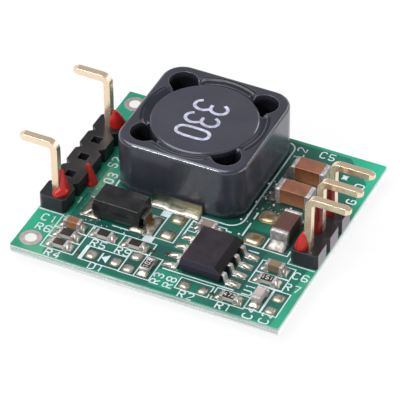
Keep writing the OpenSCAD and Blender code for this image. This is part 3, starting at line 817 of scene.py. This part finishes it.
DIODE_ARROW = [(-4.75, -9.85), (-4.1, -10.4), (-4.1, -9.3)]
# Reference names, each with its place and turn
NAMES = [
    ("C1", -11.15, -7.2, 0), ("R6", -11.05, -8.5, 0), ("R4", -8.8, -11.2, 0), ("R5", -5.75, -8.45, 0),
    ("R9", -3.4, -8.45, 0), ("D1", -4.6, -11.2, 0), ("R3", 0.75, -10.3, 90), ("R8", 1.95, -10.3, 90),
    ("R2", 3.9, -11.2, 0), ("R1", 7.4, -11.15, 0), ("C4", 9.7, -10.95, 90), ("C2", 11.2, -10.95, 90),
    ("U1", 8.45, -8.3, 90), ("C6", 11.8, -5.0, 0), ("R7", 11.7, -6.6, 0), ("C5", 7.4, 10.75, 0),
    ("L2", 5.0, 10.2, 90), ("G", 11.75, 5.9, 90), ("0", 11.6, 8.1, 90), ("*", 9.95, 8.7, 0),
    ("S2", -9.4, 2.0, 90), ("03", -8.75, -0.1, 90), ("1", -9.85, -3.9, 0), ("D3", 0.75, -2.9, 90),
]
# Copper under the mask: the main field, gaps in it and darker pockets
MAIN_FIELD = [(-9.75, -11.55), (11.9, -11.55), (12.0, 8.7), (9.4, 11.35), (-9.75, 11.35)]
GAPS = frames((0.35, -11.25, 2.5, -9.1), (5.1, -0.95, 7.15, 0.1), (-9.75, -1.6, -8.2, 4.6))
POCKETS = frames(
    (-6.3, -10.72, -2.8, -9.05), (-2.6, -10.75, 0.1, -8.05), (-5.8, -6.32, -2.7, -5.8),
    (-9.2, -6.3, -5.9, -5.7), (5.1, -3.0, 9.6, -1.1), (5.2, -8.8, 7.85, -3.2),
    (9.05, -10.4, 11.9, -7.5), (-1.1, -7.85, 1.9, -6.2),
)


def copper_fields():
    """Flat fields of copper that show through the mask, one tone each."""
    tones = (
        ("copper_fields", [MAIN_FIELD], 0.003, rgb(13, 84, 70), rgb(22, 106, 88)),
        ("copper_gaps", GAPS, 0.006, rgb(16, 112, 86), rgb(24, 134, 104)),
        ("copper_pockets", POCKETS, 0.006, rgb(10, 72, 64), rgb(14, 82, 74)),
    )
    for name, fields, height, dark, light in tones:
        heap = Heap()
        for field in fields:
            heap.field(field, height)
        heap.build(name, mask_film(name, dark, light), smooth=False)


def legend(material):
    """White print: frames and lines, filled fields, names."""
    lines = Print(LEGEND_Z)
    for cell in CELLS:
        lines.line(cell, closed=True)
    for line in LINES:
        lines.line(line)
    lines.build("legend_lines", material, LEGEND_LINE)
    heap = Heap()
    for outline in BLOCKS + [DIODE_ARROW]:
        heap.field(outline, LEGEND_Z)
    heap.build("legend_fields", material, smooth=False)
    names = Print(NAMES_Z)
    for text, x, y, turn in NAMES:
        names.letters(text, (x, y), LETTER_TALL, turn)
    names.build("legend_names", material, LETTER_LINE)


# Solder

PAD_TOP = 0.05
MOUND_RIM = 0.04
RIM_POWER = 12
NOSE_POWER = 4
NOSE_LOSS = 0.12
NECK_RATE = 2.5
SHOULDER_POWER = 3.5
SHOULDER_ROOT = 0.55


def mound(heap, at, turn, length, width, rise, bend, neck=1.0):
    """Solder from an end face out along +X. Above 1, bend makes a dome; below 1, a hollow fillet."""
    rows, columns = 13, 17
    vertices = []
    for r in range(rows):
        u = sin(pi / 2 * r / (rows - 1))
        fall = max(0.0, 1 - u ** bend) ** (1 / bend)
        crest = MOUND_RIM * max(0.0, 1 - u ** RIM_POWER) + (rise - MOUND_RIM) * fall
        wide = width * (1 - NOSE_LOSS * u ** NOSE_POWER) * (neck + (1 - neck) * min(1.0, NECK_RATE * u))
        for c in range(columns):
            v = sin(pi / 2 * (2 * c / (columns - 1) - 1))
            z = crest * max(0.0, 1 - abs(v) ** SHOULDER_POWER) ** SHOULDER_ROOT
            x, y = turned(u * length, v * wide / 2, turn)
            vertices.append((at[0] + x, at[1] + y, PAD_TOP + z))
    faces = grid_faces(rows, columns)
    faces.append(tuple(range(columns)))
    left = [r * columns for r in range(rows)]
    foot = left + [left[-1] + c for c in range(1, columns)] + [r + columns - 1 for r in left[-2::-1]]
    faces.append(tuple(foot[::-1]))
    heap.add(vertices, faces)


def joints(name, mounds, material, replaced):
    """Piece of several mounds, in place of a node."""
    heap = Heap()
    for shape in mounds:
        mound(heap, *shape)
    heap.build(name, material, slot="solder", replaces=replaced, creased=True)


SOLDER_SEED = 7
SMALL_CAPS = (
    ("small_cap_left", 0), ("small_cap_right", 0), ("small_cap_upright", 90), ("small_cap_inner", 0),
)
LARGE_CAPS = (("capacitor_far", 0), ("capacitor_near", 0), ("capacitor_side", 90))
# Places and turns of the resistors; the last three carry a code
RESISTORS = [
    (-8.68, -8.67, 0), (-8.7, -10.0, 0), (-5.75, -7.38, 0), (-2.7, -7.38, 0),
    (-0.59, -9.35, 90), (7.45, -10.05, 0), (9.45, -6.68, 0),
]
SMALL_RISE = 0.5
RESISTOR_RISE = 0.42
CHIP_HALF = 0.8
CHIP_SEAT = 0.06
CHIP_REACH = 0.475
CHIP_WIDE = 1.0
CHIP_NECK = 0.76
CHIP_RISES = (0.85, 1.1)
CHIP_BENDS = (1.4, 2.2)
# Turn of a chip's end and share of solder on it
CHIP_SIDES = ((0, 1.15), (180, 0.5))
LARGE_HALF = 1.6
LARGE_SEAT = 0.05
LARGE_REACH = 0.85
LARGE_WIDE = 1.72
LARGE_RISES = (0.55, 0.7)
LARGE_BENDS = (0.66, 0.82)
# Pairs of bare pads: middle, turn, half their distance, and the pillow's size
BARE_PADS = [
    (-4.5, -9.9, 0, 1.15, (0.95, 1.05, 0.15)), (-2.0, -9.35, 90, 0.85, (0.95, 1.0, 0.17)),
    (4.13, -10.05, 0, 0.85, (0.95, 1.0, 0.17)), (11.2, -9.1, 90, 0.85, (0.95, 1.0, 0.16)),
    (-0.85, -3.72, 90, 1.12, (1.15, 1.3, 0.2)), (6.15, -0.6, 90, 1.58, (1.5, 1.65, 0.22)),
]


def end_place(at, turn, reach):
    """Place and turn of a mound at the end of a chip."""
    across, deep = turned(reach, 0, turn)
    return (at[0] + across, at[1] + deep), turn


def chip_solder(material, dull):
    """Solder at the ends of the small chips, and of the large capacitors."""
    chance = np.random.default_rng(SOLDER_SEED)
    chips = [(middle(name), turn, SMALL_RISE) for name, turn in SMALL_CAPS]
    chips += [((x, y), turn, RESISTOR_RISE) for x, y, turn in RESISTORS]
    joints("chip_solder", [
        (*end_place(at, turn + side, CHIP_HALF - CHIP_SEAT), CHIP_REACH + CHIP_SEAT, CHIP_WIDE,
         rise * share * chance.uniform(*CHIP_RISES), chance.uniform(*CHIP_BENDS), CHIP_NECK)
        for at, turn, rise in chips for side, share in CHIP_SIDES
    ], material, "chip_joints")
    joints("capacitor_solder", [
        (*end_place(middle(name), turn + side, LARGE_HALF - LARGE_SEAT), LARGE_REACH, LARGE_WIDE,
         chance.uniform(*LARGE_RISES), chance.uniform(*LARGE_BENDS))
        for name, turn in LARGE_CAPS for side in (0, 180)
    ], dull, "capacitor_joints")


LEADS = 4
LEAD_AT = 2.75
LEAD_PITCH = 1.27
LEAD_MOUND = (0.88, 0.6, 0.24, 1.6, 0.65)
# From the diode's middle: place, turn, length, width, rise, bend and neck
DIODE_MOUNDS = [
    (2.58, 0.0, 0, 0.95, 2.45, 0.3, 0.6, 0.58), (-2.58, 0.0, 180, 0.9, 2.45, 0.35, 0.8, 0.58),
    (2.0, -1.1, -90, 0.46, 1.4, 0.3, 2.0), (-2.2, -1.1, -90, 0.3, 1.1, 0.14, 2.2),
]
# Along the terminal's front, from its middle: place, length, width, rise and bend
TERMINAL_MOUNDS = [(-1.4, 0.64, 1.95, 0.17, 2.6), (1.5, 0.64, 1.75, 0.17, 2.6), (0.0, 0.66, 4.7, 0.07, 1.8)]
TERMINAL_FLUX = (-0.05, 0.16, 1.35, 0.14, 1.1)
FLUX_DOTS = [(0.15, -7.15), (-1.1, -7.3), (-6.83, -10.17), (5.83, -10.1)]
FLUX_DOT_R = 0.24
FLUX_DOT_FLAT = 0.25


def lead_solder(material):
    """Solder at the control chip, the diode and the inductor's front terminal, and flux beside it."""
    chip = middle("control_chip")
    joints("control_chip_solder", [
        ((chip.x + side * LEAD_AT, chip.y + (i - (LEADS - 1) / 2) * LEAD_PITCH), turn, *LEAD_MOUND)
        for side, turn in ((1, 0), (-1, 180)) for i in range(LEADS)
    ], material, "control_chip_joints")
    diode = middle("diode_body")
    shapes = [((diode.x + x, diode.y + y), *shape) for x, y, *shape in DIODE_MOUNDS]
    joints("diode_solder", shapes, material, "diode_joints")
    front = (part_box("terminal_front")[0].y - TOP.y) / MM
    centre = middle("terminal_front").x
    shapes = [((centre + x, front), -90, *shape) for x, *shape in TERMINAL_MOUNDS + [TERMINAL_FLUX]]
    bright = solder("bright_solder", rgb(240, 236, 226), rgb(206, 200, 186), 0.42, rim_tan=False)
    joints("terminal_solder", shapes[:-1], bright, "terminal_joint")
    heap = Heap()
    mound(heap, *shapes[-1])
    for x, y in FLUX_DOTS:
        ball(heap, x, y, 0.0, FLUX_DOT_R, FLUX_DOT_FLAT)
    flux = plain("flux", rgb(62, 44, 16), 0.36, edge=0, grain=0.4, depth=0.01, shift=0.3)
    heap.build("flux_marks", flux, creased=True)


PILLOW_BULGE = (0.55, 0.55, 1.0)
PILLOW_SEED = 3
PILLOW_UNEVEN = 0.1
PILLOW_Z = 0.02


def pillow_tree(material):
    """Pillows of solder on points, each sized and turned by the point's own values."""
    tree = Tree("solder_pillows", Uneven="Float", Seed="Int")
    sphere = tree.shape("MeshUVSphere", {"Segments": 40, "Rings": 20, "Radius": 0.5})["Mesh"]
    full = tree.vector("MULTIPLY", tree.shape("InputPosition")["Position"], (2, 2, 2))
    bulge = tree.vector("POWER", tree.vector("ABSOLUTE", full), PILLOW_BULGE)
    square = tree.vector("MULTIPLY", bulge, tree.vector("SIGN", full))
    half = tree.vector("MULTIPLY", square, (0.5, 0.5, 0.5))
    pillow = tree.shape("SetPosition", {"Geometry": sphere, "Position": half})["Geometry"]
    size, turn = (
        tree.shape("InputNamedAttribute", {"Name": label}, data_type="FLOAT_VECTOR")["Attribute"]
        for label in ("pad_size", "pad_turn")
    )
    least = tree.math("SUBTRACT", 1.0, tree.start["Uneven"])
    place = tree.shape("InstanceOnPoints", {
        "Points": tree.start["Geometry"], "Instance": pillow,
        "Rotation": tree.node("EulerToRotation", {"Euler": turn}, "FunctionNode").outputs["Rotation"],
        "Scale": tree.vector("MULTIPLY", size, tree.chance(least, 1.0)),
    })
    return tree.finish(place["Instances"], material)


PAD_INSET = 0.06
RIM_WIDE = 0.1
RIM_RISE = 0.06


def pillows(material, pads, wider, flat=None):
    """Mesh of the pillows on some bare pads, each wider by some millimetres and, where asked, flat."""
    heap = Heap()
    sizes, turns = [], []
    for x, y, turn, half, (across, deep, rise) in pads:
        for side in (-half, half):
            aside, along = turned(side, 0, turn)
            heap.vertices.append((x + aside, y + along, PILLOW_Z))
            sizes.append(((across + wider) * MM, (deep + wider) * MM, 2 * (flat or rise) * MM))
            turns.append((0, 0, radians(turn)))
    mesh = heap.mesh()
    for label, values in (("pad_size", sizes), ("pad_turn", turns)):
        mesh.attributes.new(label, "FLOAT_VECTOR", "POINT").data.foreach_set("vector", np.ravel(values))
    return pillow_tree(material).grow(mesh, Uneven=PILLOW_UNEVEN, Seed=PILLOW_SEED)


def pad_solder(material):
    """Pillows of solder on the bare pads, and the rims that show round them."""
    mesh = pillows(material, BARE_PADS, -PAD_INSET)
    link_piece("pad_solder", mesh, material, slot="solder", replaces="bare_pads")
    rims = (
        ("pad_rims", "grey_rim", BARE_PADS[:4], rgb(104, 108, 88), 0.3),
        ("amber_rims", "amber_rim", BARE_PADS[4:], rgb(140, 116, 52), 0.25),
    )
    for name, finish, pads, colour, rough in rims:
        rim = plain(finish, colour, rough, 0.3, edge=0, grain=0.5, depth=0.004, shift=0.3)
        link_piece(name, pillows(rim, pads, RIM_WIDE, RIM_RISE), rim)


# Lacquer

LACQUER_VOXEL = 0.045
RUN_STEPS = 12
RELAX_SHARE = 0.5
RELAX_ROUNDS = 30
# Height of the header strips over the board
STRIP = 1.5
PIN_PITCH = 2.54


def ball(heap, x, y, z, radius, flat=1.0):
    """Closed ball, flattened in height by a share."""
    rings, segments = 10, 18
    vertices = []
    for r in range(rings):
        tilt = pi * (r + 0.5) / rings
        for s in range(segments):
            angle = 2 * pi * s / segments
            vertices.append((
                x + radius * sin(tilt) * cos(angle),
                y + radius * sin(tilt) * sin(angle),
                z + radius * flat * cos(tilt),
            ))
    faces = grid_faces(rings, segments, wrap=True)
    faces.append(tuple(range(segments)))
    faces.append(tuple((rings - 1) * segments + i for i in reversed(range(segments))))
    heap.add(vertices, faces)


def blob(name, balls, replaced, material):
    """Dab run together from balls (x, y, z, radius)."""
    heap = Heap()
    for one in balls:
        ball(heap, *one)

    def modify(passing):
        join = passing.modifiers.new("join", "REMESH")
        join.mode = "VOXEL"
        join.voxel_size = LACQUER_VOXEL * MM
        relax = passing.modifiers.new("relax", "SMOOTH")
        relax.factor = RELAX_SHARE
        relax.iterations = RELAX_ROUNDS

    link_piece(name, settled(heap.mesh(), modify), material, slot="lacquer", replaces=replaced)


def climb(start, end, full=1.0):
    """Balls from one (x, y, z, radius) to another; above 1, full keeps the radius for longer."""
    balls = []
    for i in range(RUN_STEPS + 1):
        t = i / RUN_STEPS
        place = [a + (b - a) * t for a, b in zip(start[:3], end[:3])]
        balls.append((*place, start[3] + (end[3] - start[3]) * t ** full))
    return balls


# Dabs: the piece, the node that it covers, and runs of balls with their fullness
DABS = [
    ("lacquer_a", "lacquer_left_near", [
        ((-10.9, -5.0, STRIP, 0.66), (-11.15, -5.6, STRIP, 0.5), 1.0),
        ((-10.92, -4.95, STRIP + 0.1, 0.64), (-11.05, -4.8, STRIP + 2.1, 0.2), 0.8),
    ]),
    ("lacquer_b", "lacquer_left_far", [
        ((-10.75, 5.3, STRIP + 0.1, 0.74), (-10.95, 5.1, STRIP + 1.4, 0.3), 1.8),
    ]),
    ("lacquer_c", "lacquer_left_run", [
        ((-10.0, -1.3, 0.1, 0.55), (-10.35, -1.2, 1.8, 0.22), 1.0),
        ((-9.85, -1.2, 0.05, 0.4), (-10.0, -1.6, 0.05, 0.4), 1.0),
    ]),
    ("lacquer_d", "lacquer_right_near", [
        ((10.88, -2.95, STRIP, 0.58), (11.04, -2.7, STRIP + 1.35, 0.26), 1.6),
    ]),
]
# Thin runs up the two further right pins, with the pin's place, and the points that they follow from it
THIN_DABS = (("lacquer_e", "lacquer_right_mid", 0.0), ("lacquer_f", "lacquer_right_far", PIN_PITCH))
THIN_RUN = [
    (11.2, -0.42, STRIP, 0.5), (11.33, -0.2, STRIP + 1.2, 0.41), (11.36, -0.16, STRIP + 3.25, 0.36),
]


def lacquer(material):
    """Red dabs that lock the pins; the runs up the two further right pins are painted darker as painted
    shade.
    """
    for name, node, runs in DABS:
        blob(name, [one for run in runs for one in climb(*run)], node, material)
    # Painted shade: the two further right runs get a darker red.
    shaded = plain("lacquer_thin", rgb(106, 17, 11), 0.24, edge=0, grain=0.5, depth=0.01, shift=0.3)
    for name, node, pin_y in THIN_DABS:
        low, mid, high = [(x, pin_y + y, z, radius) for x, y, z, radius in THIN_RUN]
        blob(name, climb(low, mid) + climb(mid, high), node, shaded)


# Glue in the inductor's groove: steps from the core's edge out to the ring, each (radius, height, sway)

GLUE_STEPS = [
    (4.72, -0.12, 0), (4.79, -0.18, 0), (4.88, -0.17, 0.3), (4.98, -0.13, 0.6), (5.1, -0.1, 1),
    (5.22, -0.08, 1), (5.32, -0.08, 1), (5.4, -0.06, 0.8), (5.46, -0.015, 0.5), (5.54, 0.02, 0.4),
    (5.62, 0.035, 0.5), (5.7, 0.035, 0.6), (5.77, 0.02, 0.6), (5.82, -0.01, 0.6),
]
# Waves of the uneven rim: count round the core, size and shift
GLUE_SWAY = ((5, 0.6, 0.3), (11, 0.3, 1.7), (23, 0.15, 0.9))
GLUE_GAP = 14.0
GLUE_AROUND = 90
GLUE_SWING = 0.05
GLUE_RIPPLE = 0.015
GLUE_END_SINK = 0.25
GLUE_END_RATE = 9


def wander(angle):
    """Slow uneven swing, about -1 to 1."""
    return sum(size * sin(count * angle + shift) for count, size, shift in GLUE_SWAY)


def glue_bead(material):
    """Four uneven fillings between the corner openings."""
    core = middle("inductor_core")
    top = top_of("inductor_ring")
    heap = Heap()
    for quarter in range(4):
        vertices = []
        for i in range(GLUE_AROUND + 1):
            share = i / GLUE_AROUND
            angle = radians(90 * quarter - 45 + GLUE_GAP + (90 - 2 * GLUE_GAP) * share)
            sink = GLUE_END_SINK * max(0.0, 1 - GLUE_END_RATE * min(share, 1 - share)) ** 2
            for radius, height, sway in GLUE_STEPS:
                out = radius + GLUE_SWING * sway * wander(angle)
                rise = height + GLUE_RIPPLE * sway * wander(angle + radius) - sink * sway
                vertices.append((core.x + out * cos(angle), core.y + out * sin(angle), top + rise))
        heap.add(vertices, grid_faces(GLUE_AROUND + 1, len(GLUE_STEPS)))
    heap.build("glue_bead", material, slot="glue", replaces="core_glue")


# Small solder balls left on the board: fields with a count of specks, and places of larger ones

SPECK_FIELDS = [
    (4.2, -0.5, 4.9, 7.0, 14), (5.0, 1.6, 6.9, 2.9, 16), (-9.6, -6.2, -8.0, -1.8, 12),
    (-8.6, -6.25, -3.0, -5.65, 14), (4.5, 3.0, 5.2, 6.0, 8),
]
LARGE_SPECKS = [
    (4.22, 5.0), (4.9, 5.15), (4.28, 2.3), (5.85, 2.55), (4.85, 3.05), (4.86, 3.95), (7.4, 2.75),
    (4.05, -0.35), (4.72, -2.25),
]
FIELD_SEED = 11
SPECK_SEED = 5
SPECK_Z = 0.02
SPECK_SIZES = (0.03, 0.06)
LARGE_SPECK_Z = 0.1
LARGE_SPECK_SIZES = (0.09, 0.15)


def speck_tree(material):
    """Balls on points, with radii between two sizes."""
    tree = Tree("solder_specks", Seed="Int", Small="Float", Large="Float")
    grain = tree.shape("MeshIcoSphere", {"Radius": 1.0, "Subdivisions": 2})["Mesh"]
    place = tree.shape("InstanceOnPoints", {
        "Points": tree.start["Geometry"], "Instance": grain,
        "Scale": tree.chance(tree.start["Small"], tree.start["Large"]),
    })
    return tree.finish(place["Instances"], material)


def specks(material):
    """Specks scattered over their fields, and larger balls at set places."""
    chance = np.random.default_rng(FIELD_SEED)
    scattered = [
        (chance.uniform(left, right), chance.uniform(front, back), SPECK_Z)
        for left, front, right, back, count in SPECK_FIELDS for _ in range(count)
    ]
    placed = [(x, y, LARGE_SPECK_Z) for x, y in LARGE_SPECKS]
    for name, places, (small, large) in (
        ("solder_specks", scattered, SPECK_SIZES), ("solder_balls", placed, LARGE_SPECK_SIZES),
    ):
        tree = speck_tree(material)
        mesh = tree.grow(Heap(places).mesh(), Seed=SPECK_SEED, Small=small * MM, Large=large * MM)
        link_piece(name, mesh, material)


# Marks on the parts

MARK = "330"
MARK_SHIFT = (-0.15, -0.25)
MARK_TALL = 3.1
MARK_LINE = 0.31
MARK_LIFT = 0.01
CODES = ("103", "472", "151")
CODE_TALL = 0.44
CODE_LINE = 0.075
CODE_LIFT = 0.006


def part_marks(ink, code_ink):
    """Number on the inductor and codes on three resistors."""
    core = middle("inductor_core")
    mark = Print(top_of("inductor_core") + MARK_LIFT)
    place = (core.x + MARK_SHIFT[0], core.y + MARK_SHIFT[1])
    mark.letters(MARK, place, MARK_TALL, -90, wide=0.42, gap=0.46, curl=3)
    mark.build("inductor_mark", ink, MARK_LINE)
    codes = Print(top_of("resistor_coats") + CODE_LIFT)
    for text, (x, y, turn) in zip(CODES, RESISTORS[4:]):
        codes.letters(text, (x, y), CODE_TALL, turn, wide=0.55, gap=0.5)
    codes.build("resistor_codes", code_ink, CODE_LINE)


# Light and floor

FLOOR_HALF = 1.0
FLOOR_GREY = (0.88, 0.88, 0.88, 1)
FLOOR_WHITE_SHARE = 0.9
SKY_LEVEL = 0.42
# Rise of the white band near the horizon: where it starts to fade and where it ends
HORIZON = (0.15, 0.5)


def make_floor():
    """Floor that is white to the eye and in reflections, with a faint shadow of the part."""
    mesh = bpy.data.meshes.new("floor")
    corners = frames((-FLOOR_HALF, -FLOOR_HALF, FLOOR_HALF, FLOOR_HALF))[0]
    mesh.from_pydata([(x, y, 0) for x, y in corners], [], [(0, 1, 2, 3)])
    floor = new_object("floor", mesh)
    material = bpy.data.materials.new("floor")
    material.use_nodes = True
    nodes = Nodes(material.node_tree)
    nodes.tree.nodes.clear()
    matte = nodes.node("BsdfDiffuse", {"Color": FLOOR_GREY}).outputs["BSDF"]
    white = nodes.node("Emission").outputs["Emission"]
    ray = nodes.node("LightPath").outputs
    seen = nodes.math("MAXIMUM", ray["Is Camera Ray"], ray["Is Glossy Ray"])
    seen = nodes.math("MAXIMUM", seen, ray["Is Transmission Ray"])
    share = nodes.math("MULTIPLY", seen, FLOOR_WHITE_SHARE)
    mix = nodes.node("MixShader", {"Fac": share, 1: matte, 2: white}).outputs["Shader"]
    nodes.node("OutputMaterial", {"Surface": mix})
    mesh.materials.append(material)


def make_sky():
    """Dim even sky that is white to the camera, and white near the horizon in reflections."""
    world = bpy.data.worlds.new("world")
    bpy.context.scene.world = world
    world.use_nodes = True
    nodes = Nodes(world.node_tree)
    ray = nodes.node("LightPath").outputs
    up = nodes.part(nodes.node("TexCoord").outputs["Generated"], "Z")
    reflected = nodes.math("MULTIPLY", nodes.spread(up, *HORIZON, 1.0, 0.0), ray["Is Glossy Ray"])
    white = nodes.math("MAXIMUM", reflected, ray["Is Camera Ray"])
    level = nodes.spread(white, 0, 1, SKY_LEVEL, 1.0)
    nodes.feed(nodes.tree.nodes["Background"].inputs, {"Color": (1, 1, 1, 1), "Strength": level})


def area_light(name, place_mm, aim_mm, size_mm, watts):
    data = bpy.data.lights.new(name, "AREA")
    data.shape = "RECTANGLE"
    data.size = size_mm[0] * MM
    data.size_y = size_mm[1] * MM
    data.energy = watts
    light = new_object(name, data)
    start = point(*place_mm)
    light.location = start
    light.rotation_euler = (point(*aim_mm) - start).to_track_quat("-Z", "Y").to_euler()


# Lamps: place, aim, width and height in millimetres, and power
LAMPS = (
    ("overhead", (-60, -15, 150), (0, 0, 0), (130, 130), 0.2),
    ("edge_light", (-66, -130, 138), (0, 0, 3), (34, 18), 0.14),
    ("side_light", (170, 30, 50), (0, 0, 2), (120, 80), 0.1),
    ("back_light", (90, 150, 80), (0, 0, 3), (110, 50), 0.05),
)

bpy.context.scene.view_settings.view_transform = "Standard"
make_camera()
make_floor()
make_sky()
for lamp in LAMPS:
    area_light(*lamp)
dress_nodes()
copper_fields()
legend(plain("legend_ink", rgb(196, 211, 214), 0.55))
dull_solder = solder("dull_solder", rgb(182, 178, 174), rgb(128, 124, 119), 0.5)
chip_solder(MATERIALS["solder"], dull_solder)
lead_solder(MATERIALS["solder"])
pad_solder(MATERIALS["solder"])
lacquer(MATERIALS["lacquer"])
glue_bead(MATERIALS["glue"])
specks(plain("speck_tin", rgb(224, 222, 214), 0.3, 0.6))
mark_ink = plain("mark_ink", rgb(172, 172, 192), 0.6, edge=0, grain=0.08, depth=0.002, shift=0.35)
part_marks(mark_ink, plain("code_ink", rgb(214, 210, 206), 0.6))
